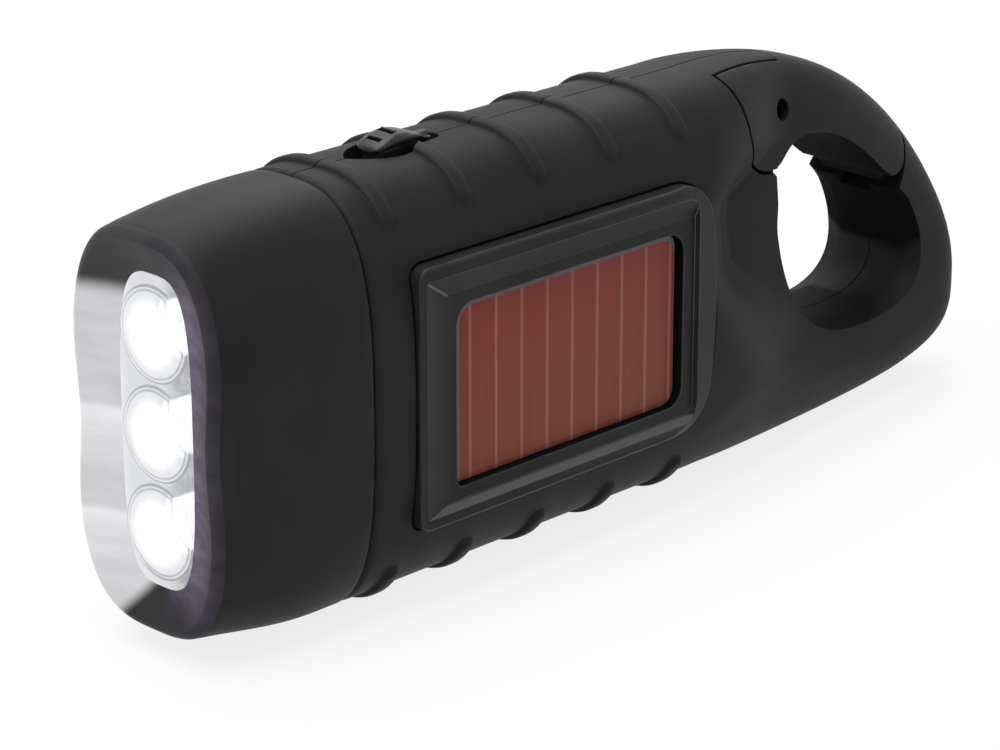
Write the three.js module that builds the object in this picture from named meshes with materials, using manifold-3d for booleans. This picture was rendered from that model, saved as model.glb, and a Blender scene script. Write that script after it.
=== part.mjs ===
// A pocket flashlight charged by a hand crank and a solar cell, with a carabiner loop at its rear.
// Millimetres, +Z up. The beam points along +X, the solar cell faces +Y and the crank lies on -Y.
// While it is built, x and z are counted from the middle of the solar frame, and y from the seam
// between the two half shells. The last lines put the origin under the middle of the whole.

import * as THREE from 'three';
import { ConvexGeometry } from 'three/addons/geometries/ConvexGeometry.js';
import { mergeVertices } from 'three/addons/utils/BufferGeometryUtils.js';
import Module from 'manifold-3d';

const wasm = await Module();
wasm.setup();

// Driving dimensions

const fit = 0.3; // gap between neighbouring pieces
const seam = 0.3; // gap between the two half shells

const body = {
  frontX: 30.4, // where the head starts
  halfHeight: 25.15,
  halfWidth: 13.5,
  crown: 3, // exponent of the rounded section: 2 is an ellipse, more is squarer
  wall: 1.9,
  thinStartX: -20, // the grip thins from here back to the loop
  thinEndX: -47,
  cavityRearX: -31,
};

const loop = { rearX: -83.3, rearZ: -12, halfWidth: 7.8, endLength: 7 };

const ribs = { count: 5, firstX: 25.6, pitch: 12.04, width: 2.6, height: 0.6, endDrop: 4.9 };

const gate = {
  pivotX: -45.5,
  pivotDrop: 6.8, // pivot below the top of the body
  reach: 26.7, // from the pivot to the nose
  gap: 0.5, // round the moving gate
  frontX: -34.2,
  pinRadius: 1.1,
  pinRecess: 1.6,
};

const tongue = { frontHalfWidth: 5, rearHalfWidth: 3, rearX: -48.2, knuckle: 5, gap: 0.45 };
const catchTab = { halfWidth: 1.1, headHalfWidth: 2.2, length: 1.5, headLength: 0.7, gap: 0.5 };
const spring = { wire: 0.6, coilRadius: 2.3, turns: 4, pitch: 0.78, armLength: 7.6 };

const head = {
  frontX: 51.5,
  halfHeight: 23.5,
  halfWidth: 12.5,
  crown: 3.1,
  wall: 1.8,
  waistDepth: 1.1,
  waistHalfHeight: 8,
  rim: 0.9, // flat front edge
  dishDepth: 1.5,
  frontWall: 1.4,
};
const neck = { length: 4.6, wall: 1.6, root: 2.5 };
const seal = { halfWidth: 0.4, depth: 0.6, fromJoint: 2.6 };

const lens = { halfWidth: 6.6, halfHeight: 18.9, flange: 1.4, flangeThickness: 1.2, bulge: 0.5 };
const led = { count: 3, pitch: 11.5, dome: 2.5, flange: 2.9, length: 6.4 };
const cup = { mouth: 5.6, throat: 3.3, depth: 7.4 };
const board = { thickness: 1.2 };

const frame = {
  halfLength: 24.25,
  halfHeight: 15.65,
  proud: 0.6,
  depth: 2.1, // pocket below the side of the body
  floor: 1.5,
  ridge: 1,
  slopeWidth: 1.9,
  slopeDepth: 1,
  frontCorner: 1.6,
  rearCorner: 5,
  rearBevel: 2.2,
};
const solarWindow = { x: -1.07, z: -0.97, halfLength: 19.05, halfHeight: 10.95, corner: 3 };
const cell = { border: 1.05, thickness: 1.2, ledge: 1.7, skirt: 1.1 };

const slider = { x: 15.1, halfLength: 4.3, halfWidth: 2.5, rise: 2.6, travel: 2.6 };
const recess = { halfLength: 6.4, halfWidth: 3.6, depth: 2.1, floor: 1 };
const switchCase = { halfLength: 4.4, halfWidth: 2.6, height: 3 };
const mainBoard = { frontX: 22.4, rearX: 3, halfWidth: 7 };

const crank = {
  x: -12, // hub axis
  length: 36, // hub axis to knob hinge
  hubRadius: 9,
  tipRadius: 7.5,
  thickness: 5.8,
  standOff: 1.1, // arm clear of the side of the body
  shaftRadius: 2,
  padRadius: 9.5,
  padHeight: 0.6,
  bushWall: 1.1,
};
const knob = {
  radius: 4,
  start: 4.5, // hinge axis to the near end of the knob
  length: 15.5,
  axisDepth: 3.8, // hinge axis behind the inner face of the arm
  blockRadius: 3,
  axleRadius: 1.2,
  hingePin: 1.1,
};

const teeth = { module: 0.6, addendum: 0.75, dedendum: 1.15, backlash: 0.3 };
const train = {
  drive: 36,
  pinion: 10,
  gearA: 30,
  gearB: 27,
  angleA: 35, // degrees, direction from each axle to the next
  angleB: -40,
  angleRotor: -60,
  gearThickness: 1.4,
  driveThickness: 2,
  wallGap: 1,
  layerGap: 0.7,
  plateThickness: 1.2,
  axleRadius: 1,
};
const generator = { magnetRadius: 5, length: 6.6, canRadius: 8.3, canWall: 0.6 };
const plateScrew = { headRadius: 2, shankRadius: 0.8, postRadius: 2.4 };
const battery = { radius: 5.4, cellLength: 5.4, cells: 3, rearX: -24, floor: 0.2, z: -13.5 };

const shellScrew = { headRadius: 2.6, headHeight: 1.8, shankRadius: 1.2, postRadius: 3.2 };
const wireRadius = 0.5;

// Worked out from the driving dimensions

const leftWall = -(body.halfWidth - body.wall); // inner face of the crank side
const pivotZ = body.halfHeight - gate.pivotDrop;
const neckShare = neck.length / (head.frontX - body.frontX); // of the head's length
const headSwell = 0.5;
const neckSwell = headSwell * Math.sin(Math.PI * neckShare);
const headAtNeck = (rear, front) => THREE.MathUtils.lerp(rear, front, neckShare) + neckSwell;
const jointHalfWidth = // outside of the neck
  Math.min(body.halfWidth, headAtNeck(body.halfWidth, head.halfWidth)) - head.wall - fit;
const jointHalfHeight =
  Math.min(body.halfHeight, headAtNeck(body.halfHeight, head.halfHeight)) - head.wall - fit;
const dishX = head.frontX - head.dishDepth;
const wallBackX = dishX - head.frontWall;
const boardX = wallBackX - fit - lens.flangeThickness - fit - cup.depth - fit - board.thickness;
const pocketY = body.halfWidth - frame.depth;
const cellFrontY = pocketY + fit + 1.2 - cell.ledge;
const armY = -(body.halfWidth + crank.standOff); // inner face of the crank arm
const hingeX = crank.x + crank.length;
const hingeY = armY - knob.axisDepth;
const batteryFrontX = battery.rearX + battery.cells * battery.cellLength;
const recessFloorZ = body.halfHeight - recess.depth;
const boardTopZ = recessFloorZ - recess.floor - fit - switchCase.height - fit;

// Solids

// A mesh listed from the wrong side is turned, so that its faces point outwards.
function outwards(geometry) {
  const at = geometry.getAttribute('position');
  const order = geometry.index.array;
  const corners = [new THREE.Vector3(), new THREE.Vector3(), new THREE.Vector3()];
  let volume = 0;
  for (let i = 0; i < order.length; i += 3) {
    corners.forEach((corner, k) => corner.fromBufferAttribute(at, order[i + k]));
    volume += corners[0].dot(corners[1].clone().cross(corners[2]));
  }
  if (volume < 0) order.reverse();
  return geometry;
}

function solid(geometry) {
  const bare = new THREE.BufferGeometry().setAttribute('position', geometry.getAttribute('position'));
  bare.setIndex(geometry.index);
  const merged = outwards(mergeVertices(bare, 1e-4));
  return new wasm.Manifold(
    new wasm.Mesh({
      numProp: 3,
      vertProperties: merged.getAttribute('position').array,
      triVerts: new Uint32Array(merged.index.array),
    }),
  );
}

const join = (first, ...others) => others.reduce((sum, other) => sum.add(other), first);
const cut = (first, ...others) => others.reduce((rest, other) => rest.subtract(other), first);
const common = (first, second) => first.intersect(second);

function part(name, shape, material) {
  const mesh = shape.getMesh();
  const geometry = new THREE.BufferGeometry();
  geometry.setAttribute('position', new THREE.BufferAttribute(mesh.vertProperties, 3));
  geometry.setIndex(new THREE.BufferAttribute(mesh.triVerts, 1));
  geometry.computeVertexNormals();
  const made = new THREE.Mesh(geometry, material);
  made.name = name;
  return made;
}

// A closed skin over rings of points, each ring with as many points as the others.
function loft(rings) {
  const count = rings[0].length;
  const points = rings.flat();
  const order = [];
  for (let i = 0; i + 1 < rings.length; i++)
    for (let j = 0; j < count; j++) {
      const a = i * count + j;
      const b = i * count + ((j + 1) % count);
      order.push(a, b, b + count, a, b + count, a + count);
    }
  const last = (rings.length - 1) * count;
  for (let j = 1; j + 1 < count; j++) {
    order.push(0, j + 1, j);
    order.push(last, last + j, last + j + 1);
  }
  const geometry = new THREE.BufferGeometry().setFromPoints(points);
  geometry.setIndex(order);
  return solid(geometry);
}

// A shape drawn in x and z, extruded along y.
function prismY(shape, y0, y1, curveSegments = 8) {
  const options = { depth: y1 - y0, bevelEnabled: false, curveSegments };
  const geometry = new THREE.ExtrudeGeometry(shape, options);
  return solid(geometry.rotateX(Math.PI / 2).translate(0, y1, 0));
}

// A shape drawn in y and z, extruded along x.
function prismX(shape, x0, x1, curveSegments = 8) {
  const options = { depth: x1 - x0, bevelEnabled: false, curveSegments };
  const geometry = new THREE.ExtrudeGeometry(shape, options);
  const turn = new THREE.Matrix4().makeBasis(
    new THREE.Vector3(0, 1, 0),
    new THREE.Vector3(0, 0, 1),
    new THREE.Vector3(1, 0, 0),
  );
  return solid(geometry.applyMatrix4(turn).translate(x0, 0, 0));
}

const box = (x0, x1, y0, y1, z0, z1) =>
  solid(
    new THREE.BoxGeometry(x1 - x0, y1 - y0, z1 - z0).translate((x0 + x1) / 2, (y0 + y1) / 2, (z0 + z1) / 2),
  );

const rod = (radius, length, sides) => new THREE.CylinderGeometry(radius, radius, length, sides);
const rodX = (radius, x0, x1, y, z, sides = 20) =>
  solid(rod(radius, x1 - x0, sides).rotateZ(-Math.PI / 2).translate((x0 + x1) / 2, y, z));
const rodY = (radius, y0, y1, x, z, sides = 20) =>
  solid(rod(radius, y1 - y0, sides).translate(x, (y0 + y1) / 2, z));
const rodZ = (radius, z0, z1, x, y, sides = 20) =>
  solid(rod(radius, z1 - z0, sides).rotateX(Math.PI / 2).translate(x, y, (z0 + z1) / 2));

// Profiles list [radius, distance along the axis].
const profilePoints = (profile) => profile.map(([radius, along]) => new THREE.Vector2(radius, along));
const turnedX = (profile, y, z, sides = 24) =>
  solid(new THREE.LatheGeometry(profilePoints(profile), sides).rotateZ(-Math.PI / 2).translate(0, y, z));
const turnedY = (profile, x, z, sides = 24) =>
  solid(new THREE.LatheGeometry(profilePoints(profile), sides).translate(x, 0, z));

const ring = (inner, outer, low, high) => [
  [inner, low],
  [outer, low],
  [outer, high],
  [inner, high],
  [inner, low],
];

function tube(points, radius, sides = 6, steps = 9) {
  const section = new THREE.Shape();
  for (let i = 0; i < sides; i++) {
    const angle = (i * 2 * Math.PI) / sides;
    if (i) section.lineTo(radius * Math.cos(angle), radius * Math.sin(angle));
    else section.moveTo(radius, 0);
  }
  const extrudePath = new THREE.CatmullRomCurve3(points.map((p) => new THREE.Vector3(...p)));
  return solid(new THREE.ExtrudeGeometry(section, { steps, bevelEnabled: false, extrudePath }));
}

// Shapes

const degrees = THREE.MathUtils.degToRad;

function roundedBar(halfWidth, halfHeight) {
  const shape = new THREE.Shape();
  const centre = halfHeight - halfWidth;
  shape.absarc(0, centre, halfWidth, 0, Math.PI);
  shape.absarc(0, -centre, halfWidth, Math.PI, 2 * Math.PI);
  return shape;
}

// Two circles of different size joined by their outer tangents, along x.
function leverShape(x0, radius0, x1, radius1) {
  const tilt = Math.acos((radius0 - radius1) / (x1 - x0));
  const shape = new THREE.Shape();
  shape.absarc(x0, 0, radius0, tilt, 2 * Math.PI - tilt);
  shape.absarc(x1, 0, radius1, -tilt, tilt);
  return shape;
}

// Straight-sided teeth, thinned by the backlash.
function gearShape(count, phase) {
  const pitchRadius = (count * teeth.module) / 2;
  const tip = pitchRadius + teeth.addendum * teeth.module;
  const root = pitchRadius - teeth.dedendum * teeth.module;
  const half = (Math.PI * teeth.module) / 4 - teeth.backlash / 2;
  const slope = Math.tan(degrees(20));
  const shape = new THREE.Shape();
  for (let i = 0; i < count; i++) {
    const middle = phase + (i * 2 * Math.PI) / count;
    const flank = [root, tip].map((radius) => {
      const width = half - (radius - pitchRadius) * slope;
      return [radius, width / radius];
    });
    const outline = [...flank.map(([r, a]) => [r, -a]), ...flank.reverse()];
    outline.forEach(([radius, angle], k) => {
      const x = radius * Math.cos(middle + angle);
      const y = radius * Math.sin(middle + angle);
      if (i || k) shape.lineTo(x, y);
      else shape.moveTo(x, y);
    });
  }
  return shape;
}

// The body's section: a rounded form between the top and bottom curves of the side view.

const topCurve = new THREE.CubicBezierCurve(
  new THREE.Vector2(-32, body.halfHeight),
  new THREE.Vector2(-66, body.halfHeight + 2),
  new THREE.Vector2(-80.3, 5),
  new THREE.Vector2(loop.rearX, loop.rearZ),
);
const bottomCurve = new THREE.CubicBezierCurve(
  new THREE.Vector2(-30, -body.halfHeight),
  new THREE.Vector2(-74, -body.halfHeight - 1.4),
  new THREE.Vector2(loop.rearX, -24.5),
  new THREE.Vector2(loop.rearX, loop.rearZ),
);

function heightOn(curve, x) {
  const points = curve.getPoints(80);
  if (x >= points[0].x) return points[0].y;
  const i = Math.max(1, points.findIndex((p) => p.x <= x));
  const share = (x - points[i - 1].x) / (points[i].x - points[i - 1].x);
  return THREE.MathUtils.lerp(points[i - 1].y, points[i].y, share);
}

function halfWidthAt(x) {
  const thin = THREE.MathUtils.smoothstep(-x, -body.thinStartX, -body.thinEndX);
  const width = THREE.MathUtils.lerp(body.halfWidth, loop.halfWidth, thin);
  const end = THREE.MathUtils.clamp((loop.rearX + loop.endLength - x) / loop.endLength, 0, 1);
  return width * Math.cbrt(1 - end ** 3);
}

function roundRing(x, halfWidth, halfHeight, centreZ, crown, count = 24) {
  return Array.from({ length: count }, (_, i) => {
    const angle = (i * 2 * Math.PI) / count;
    const c = Math.cos(angle);
    const s = Math.sin(angle);
    const size = (Math.abs(c) ** crown + Math.abs(s) ** crown) ** (-1 / crown);
    return new THREE.Vector3(x, halfWidth * c * size, centreZ + halfHeight * s * size);
  });
}

function bodyRing(x, grow = 0) {
  const top = heightOn(topCurve, x);
  const bottom = heightOn(bottomCurve, x);
  const halfHeight = (top - bottom) / 2 + grow;
  return roundRing(x, halfWidthAt(x) + grow, halfHeight, (top + bottom) / 2, body.crown);
}

const rearSteps = [0.03, 0.4, 1.4, 3, 5.5, 9, 14, 20, 27];
const stations = [
  ...rearSteps.map((step) => loop.rearX + step),
  -47, -40, -34, -28, body.thinStartX, body.frontX,
];

const outside = loft(stations.map((x) => bodyRing(x)));

// The middle of the wall, where posts, ledges and floors on the inside end.
const midWall = loft(
  stations.filter((x) => x > loop.rearX + 2.5).map((x) => bodyRing(x, -body.wall / 2)),
);

function holeShape() {
  const shape = new THREE.Shape();
  shape.moveTo(-43.8, pivotZ - 6.35);
  shape.bezierCurveTo(-44, 1, -47, -12.3, -60, -12.4);
  shape.bezierCurveTo(-68.5, -12.5, -72.6, -10.5, -72, -5.5);
  shape.bezierCurveTo(-71.6, -1.5, -68.5, pivotZ - 15.85, -66, pivotZ - 12.55);
  return shape;
}

// Gate

const onPivot = (radius, angle) => [
  gate.pivotX + radius * Math.cos(degrees(angle)),
  pivotZ + radius * Math.sin(degrees(angle)),
];

// Drawn round the gate itself, or with the gap added round the hole that it moves in.
function gateShape(gap = 0) {
  const above = body.halfHeight + 8;
  const shape = new THREE.Shape();
  shape.moveTo(gate.frontX + gap, above);
  shape.lineTo(gate.frontX + gap, body.halfHeight - 0.4);
  shape.lineTo(gate.frontX - 1.2 + gap, pivotZ + 2.15);
  const neckZ = pivotZ - 6.95 - gap;
  shape.bezierCurveTo(-36.6 + gap, pivotZ - 0.85, -37.6 + gap, neckZ - 0.3, -43, neckZ);
  if (gap) {
    shape.lineTo(-45, pivotZ - 9.35);
    shape.lineTo(-60, pivotZ - 18.35);
    shape.absarc(gate.pivotX, pivotZ, gate.reach + gap, degrees(-146), degrees(-175), true);
  } else {
    shape.bezierCurveTo(-45, pivotZ - 7.05, -46, pivotZ - 4.55, -49, pivotZ - 4.25);
    shape.bezierCurveTo(-54, pivotZ - 3.85, -59.5, pivotZ - 6.85, -64.3, pivotZ - 11.55);
    shape.quadraticCurveTo(-67, pivotZ - 14.15, ...onPivot(gate.reach, -153.5));
    shape.absarc(gate.pivotX, pivotZ, gate.reach, degrees(-153.5), degrees(-175), true);
  }
  shape.lineTo(gate.pivotX - gate.reach - 4, above);
  return shape;
}

// The tongue of the body that the gate's two cheeks straddle, seen from the side. With the gap
// added it is the slot in the gate, which stays open below so that the cheeks can swing forward.
function tongueShape(gap = 0) {
  const above = body.halfHeight + 8;
  const shape = new THREE.Shape();
  const rearAngle = Math.acos((tongue.rearX - gate.pivotX) / tongue.knuckle);
  const lowAngle = gap ? 255 : 285;
  const [lowX] = onPivot(tongue.knuckle + gap, lowAngle);
  shape.moveTo(gate.frontX + 4, above);
  shape.lineTo(tongue.rearX - gap, above);
  shape.absarc(gate.pivotX, pivotZ, tongue.knuckle + gap, rearAngle, degrees(lowAngle));
  shape.lineTo(gap ? lowX : -43.85, pivotZ - 7.75);
  shape.lineTo(gate.frontX + 4, pivotZ - 9.35);
  return shape;
}

// The same tongue seen from above: it tapers towards the rear.
function tonguePlan(gap = 0) {
  const front = tongue.frontHalfWidth + gap;
  const rear = tongue.rearHalfWidth + gap;
  const frontX = gate.frontX + 4;
  const rearX = gate.pivotX - tongue.knuckle - gap - 1;
  const shape = new THREE.Shape();
  shape.moveTo(frontX, -front);
  shape.lineTo(frontX, front);
  shape.lineTo(gate.frontX, front);
  shape.lineTo(tongue.rearX, rear);
  shape.lineTo(rearX, rear);
  shape.lineTo(rearX, -rear);
  shape.lineTo(tongue.rearX, -rear);
  shape.lineTo(gate.frontX, -front);
  return shape;
}

function prismZ(shape, z0, z1) {
  const geometry = new THREE.ExtrudeGeometry(shape, { depth: z1 - z0, bevelEnabled: false });
  return solid(geometry.translate(0, 0, z0));
}

function tongueSolid(gap = 0) {
  const plan = prismZ(tonguePlan(gap), pivotZ - 12, body.halfHeight + 9);
  return common(prismY(tongueShape(gap), -12, 12, 8), plan);
}

// A wedge of a ring round the pivot, for the catch at the gate's nose.
function catchSolid(fromRadius, toRadius, fromAngle, toAngle, halfWidth) {
  const shape = new THREE.Shape();
  shape.absarc(gate.pivotX, pivotZ, toRadius, degrees(fromAngle), degrees(toAngle), true);
  shape.absarc(gate.pivotX, pivotZ, fromRadius, degrees(toAngle), degrees(fromAngle));
  return prismY(shape, -halfWidth, halfWidth, 4);
}

function gateCatch() {
  const end = gate.reach + catchTab.length;
  return join(
    catchSolid(gate.reach - 2, end, -150.8, -155.5, catchTab.halfWidth),
    catchSolid(end - catchTab.headLength, end, -150.8, -155.5, catchTab.headHalfWidth),
  );
}

function catchNotch() {
  const end = gate.reach + catchTab.length;
  const { gap } = catchTab;
  return join(
    catchSolid(gate.reach - 1, end + gap, -138, -156.5, catchTab.halfWidth + gap),
    catchSolid(end - catchTab.headLength - gap, end + gap, -138, -156.5, catchTab.headHalfWidth + gap),
  );
}

const springArm = { z0: pivotZ + spring.coilRadius - 0.7, z1: pivotZ + spring.coilRadius + 0.7 };
const springSlot = 1.1;

function gateSolid() {
  const blank = common(outside, prismY(gateShape(), -20, 20, 8));
  const pinHole = rodY(gate.pinRadius + fit, -20, 20, gate.pivotX, pivotZ, 16);
  const armHole = box(
    gate.pivotX - spring.armLength - fit,
    gate.pivotX,
    -springSlot,
    springSlot,
    springArm.z0,
    springArm.z1,
  );
  return cut(join(blank, gateCatch()), tongueSolid(tongue.gap), pinHole, armHole);
}

function gatePin() {
  const half = halfWidthAt(gate.pivotX) - gate.pinRecess;
  return rodY(gate.pinRadius, -half, half, gate.pivotX, pivotZ, 16);
}

// A coil round the pin, with one end held in the tongue and the other pressing on the gate.
function gateSpring() {
  const points = [];
  const perTurn = 8;
  const count = spring.turns * perTurn;
  const start = (-spring.turns * spring.pitch) / 2;
  for (let i = 0; i <= count; i++) {
    const [x, z] = onPivot(spring.coilRadius, 90 + (i * 360) / perTurn);
    points.push([x, start + (i * spring.turns * spring.pitch) / count, z]);
  }
  const [lastX, lastY, lastZ] = points[count];
  points.push([lastX - 2, lastY * 0.3, lastZ], [gate.pivotX - spring.armLength + 1, 0, lastZ]);
  points.unshift([points[0][0] + 1.2, points[0][1], points[0][2]]);
  return tube(points, spring.wire / 2, 5, count + 8);
}

// Head

function headRing(x, grow = 0, waist = 1) {
  const share = (x - body.frontX) / (head.frontX - body.frontX);
  const swell = headSwell * Math.sin(Math.PI * Math.min(share, 1));
  const halfWidth = THREE.MathUtils.lerp(body.halfWidth, head.halfWidth, share) + swell + grow;
  const halfHeight = THREE.MathUtils.lerp(body.halfHeight, head.halfHeight, share) + swell + grow;
  const crown = THREE.MathUtils.lerp(body.crown, head.crown, share);
  const depth = waist * head.waistDepth * THREE.MathUtils.smoothstep(share, 0.25, 1);
  return roundRing(x, halfWidth, halfHeight, 0, crown).map((p) => {
    const pinch = depth * Math.exp(-((p.z / head.waistHalfHeight) ** 2));
    return new THREE.Vector3(p.x, p.y - Math.sign(p.y) * Math.min(pinch, Math.abs(p.y)), p.z);
  });
}

const headSteps = [0, 0.3, 0.55, 0.8, 1];
const headX = (share) => THREE.MathUtils.lerp(body.frontX, head.frontX, share);

function headHousing() {
  const startX = body.frontX + fit;
  const rings = headSteps.map((share) => headRing(Math.max(headX(share), startX)));
  rings.push(headRing(head.frontX + 0.4, -0.5));
  const edgeX = head.frontX + 0.4;
  const blank = common(loft(rings), box(0, edgeX, -50, 50, -50, 50));
  const inner = headSteps.slice(0, -1).map((share) => headRing(headX(share), -head.wall));
  const lip = lens.flange + fit;
  const seat = roundedBar(lens.halfWidth + lip, lens.halfHeight + lip);
  const innerBack = common(loft(inner), box(0, wallBackX, -50, 50, -50, 50));
  const dishRing = (x, grow) => roundRing(x, lens.halfWidth + grow, lens.halfHeight + grow, 0, 3.2);
  const outer = headRing(edgeX, -0.5 - head.rim);
  const dish = loft([dishRing(dishX, fit), outer, outer.map((p) => new THREE.Vector3(p.x + 2, p.y, p.z))]);
  const opening = prismX(roundedBar(lens.halfWidth + fit, lens.halfHeight + fit), 40, 60, 10);
  return cut(blank, innerBack, dish, opening, prismX(seat, body.frontX, wallBackX, 10));
}

function lensSolid() {
  const flangeFront = wallBackX - fit;
  const flange = roundedBar(lens.halfWidth + lens.flange, lens.halfHeight + lens.flange);
  const face = roundedBar(lens.halfWidth, lens.halfHeight);
  const domes = ledHeights().map((z) =>
    turnedX(
      [
        [0, flangeFront],
        [cup.mouth, flangeFront],
        [cup.mouth, dishX],
        [cup.mouth * 0.86, dishX + lens.bulge * 0.6],
        [cup.mouth * 0.5, dishX + lens.bulge * 0.95],
        [0, dishX + lens.bulge],
      ],
      0,
      z,
      20,
    ),
  );
  return join(
    prismX(flange, flangeFront - lens.flangeThickness, flangeFront, 6),
    prismX(face, flangeFront - 0.2, dishX - 0.1, 8),
    ...domes,
  );
}

function ledHeights() {
  const middle = (led.count - 1) / 2;
  return Array.from({ length: led.count }, (_, i) => (middle - i) * led.pitch);
}

function reflectorSolid() {
  const front = wallBackX - fit - lens.flangeThickness - fit;
  const back = front - cup.depth;
  const outline = roundedBar(lens.halfWidth + lens.flange, lens.halfHeight + lens.flange);
  const cups = ledHeights().map((z) =>
    turnedX(
      [
        [0, back - 1],
        [cup.throat, back - 1],
        [cup.throat, back + 1],
        [cup.mouth * 0.86, front - 2.6],
        [cup.mouth, front],
        [cup.mouth, front + 1],
        [0, front + 1],
      ],
      0,
      z,
      20,
    ),
  );
  return cut(prismX(outline, back, front, 6), ...cups);
}

function ledSolid(z) {
  const base = boardX + board.thickness + fit;
  const tip = base + led.length;
  const shoulder = tip - led.dome;
  const profile = [
    [0, base],
    [led.flange, base],
    [led.flange, base + 1],
    [led.dome, base + 1],
    [led.dome, shoulder],
    [led.dome * 0.87, shoulder + led.dome * 0.5],
    [led.dome * 0.5, shoulder + led.dome * 0.87],
    [0, tip],
  ];
  return turnedX(profile, 0, z, 12);
}

function ledBoard() {
  const outline = roundedBar(lens.halfWidth + lens.flange, lens.halfHeight + lens.flange);
  return prismX(outline, boardX, boardX + board.thickness, 8);
}

// Neck, seal and half shells

// A straight length of the neck's section, with its surface moved in by the inset.
function neckLength(x0, x1, inset) {
  const ringAt = (x) => roundRing(x, jointHalfWidth - inset, jointHalfHeight - inset, 0, body.crown);
  return loft([ringAt(x0), ringAt(x1)]);
}

// A flat ring that lies in the neck's surface, at the seal.
function neckBand(outerInset, innerInset, halfWidth) {
  const x = body.frontX + seal.fromJoint;
  return cut(
    neckLength(x - halfWidth, x + halfWidth, outerInset),
    neckLength(x - halfWidth - 1, x + halfWidth + 1, innerInset),
  );
}

function neckOuter() {
  const root = (x) => bodyRing(x, -1);
  const groove = neckBand(-1, seal.depth + fit, seal.halfWidth + fit);
  return join(
    loft([root(body.frontX - neck.root), root(body.frontX)]),
    cut(neckLength(body.frontX - 0.5, body.frontX + neck.length, 0), groove),
  );
}

const neckInner = () =>
  neckLength(body.frontX - neck.root - 1, body.frontX + neck.length + 1, neck.wall);

const headSeal = () => neckBand(0, seal.depth, seal.halfWidth);

function cavity() {
  const steps = [body.cavityRearX, -25, body.thinStartX, body.frontX - neck.root];
  return loft(steps.map((x) => bodyRing(x, -body.wall)));
}

// Raised hoops over the top and under the bottom of the grip, with rounded ends.
function ribSolids() {
  const span = [body.thinStartX - 8, body.thinStartX, body.frontX];
  const crest = loft(span.map((x) => bodyRing(x, ribs.height)));
  const endZ = body.halfHeight - ribs.endDrop;
  const side = new THREE.Shape();
  side.absarc(0, endZ, ribs.width / 2, Math.PI, 2 * Math.PI);
  side.lineTo(ribs.width / 2, body.halfHeight + 4);
  side.lineTo(-ribs.width / 2, body.halfHeight + 4);
  const hoops = [];
  for (let i = 0; i < ribs.count; i++) {
    const x = ribs.firstX - i * ribs.pitch;
    const top = prismY(side, -30, 30, 6).translate([x, 0, 0]);
    hoops.push(common(crest, top), common(crest, top.mirror([0, 0, 1])));
  }
  return hoops;
}

const screwSpots = [
  { x: 26.2, z: 16, floorY: -8.5, tipY: 7 },
  { x: 26.2, z: -16, floorY: -8.5, tipY: 7 },
  { x: -28.5, z: 15, floorY: -7.5, tipY: 6 },
  { x: -28.5, z: -15, floorY: -7.5, tipY: 6 },
  { x: -75, z: -15.5, floorY: -3.2, tipY: 4.5 },
];

const screwPosts = () =>
  screwSpots.map(({ x, z }) => common(midWall, rodY(shellScrew.postRadius, -14, 14, x, z, 14)));

const screwHoles = () =>
  screwSpots.flatMap(({ x, z, floorY, tipY }) => [
    rodY(shellScrew.headRadius + fit, -20, floorY, x, z, 16),
    rodY(shellScrew.shankRadius + fit, floorY - 1, tipY + fit, x, z, 10),
  ]);

function shellScrewSolid({ x, z, floorY, tipY }) {
  const seat = floorY - fit;
  const top = seat - shellScrew.headHeight;
  const head = cut(
    rodY(shellScrew.headRadius, top, seat, x, z, 16),
    box(x - 1.7, x + 1.7, top - 1, top + 0.8, z - 0.35, z + 0.35),
    box(x - 0.35, x + 0.35, top - 1, top + 0.8, z - 1.7, z + 1.7),
  );
  return join(head, rodY(shellScrew.shankRadius, seat - 0.2, tipY, x, z, 10));
}

function sliderShape(halfLength, halfWidth) {
  const shape = new THREE.Shape();
  shape.absellipse(slider.x, 0, halfLength, halfWidth, 0, 2 * Math.PI);
  return shape;
}

// The oval well that the switch slider runs in, and the thicker floor under it.
function switchWell() {
  const well = prismZ(sliderShape(recess.halfLength, recess.halfWidth), recessFloorZ, body.halfHeight + 3);
  const stem = switchStem();
  const slot = box(
    stem.x0 - fit,
    stem.x1 + slider.travel + fit,
    -stem.halfWidth - fit,
    stem.halfWidth + fit,
    recessFloorZ - 4,
    recessFloorZ + 1,
  );
  return join(well, slot);
}

function switchFloor() {
  const low = recessFloorZ - recess.floor;
  const plate = prismZ(sliderShape(recess.halfLength + 1.4, recess.halfWidth + 1.4), low, body.halfHeight);
  return common(midWall, plate);
}

function switchStem() {
  const middle = sliderRear() + slider.halfLength;
  return { x0: middle - 1.4, x1: middle + 1.4, halfWidth: 0.9 };
}

const sliderRear = () => slider.x - recess.halfLength + 0.9;

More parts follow.
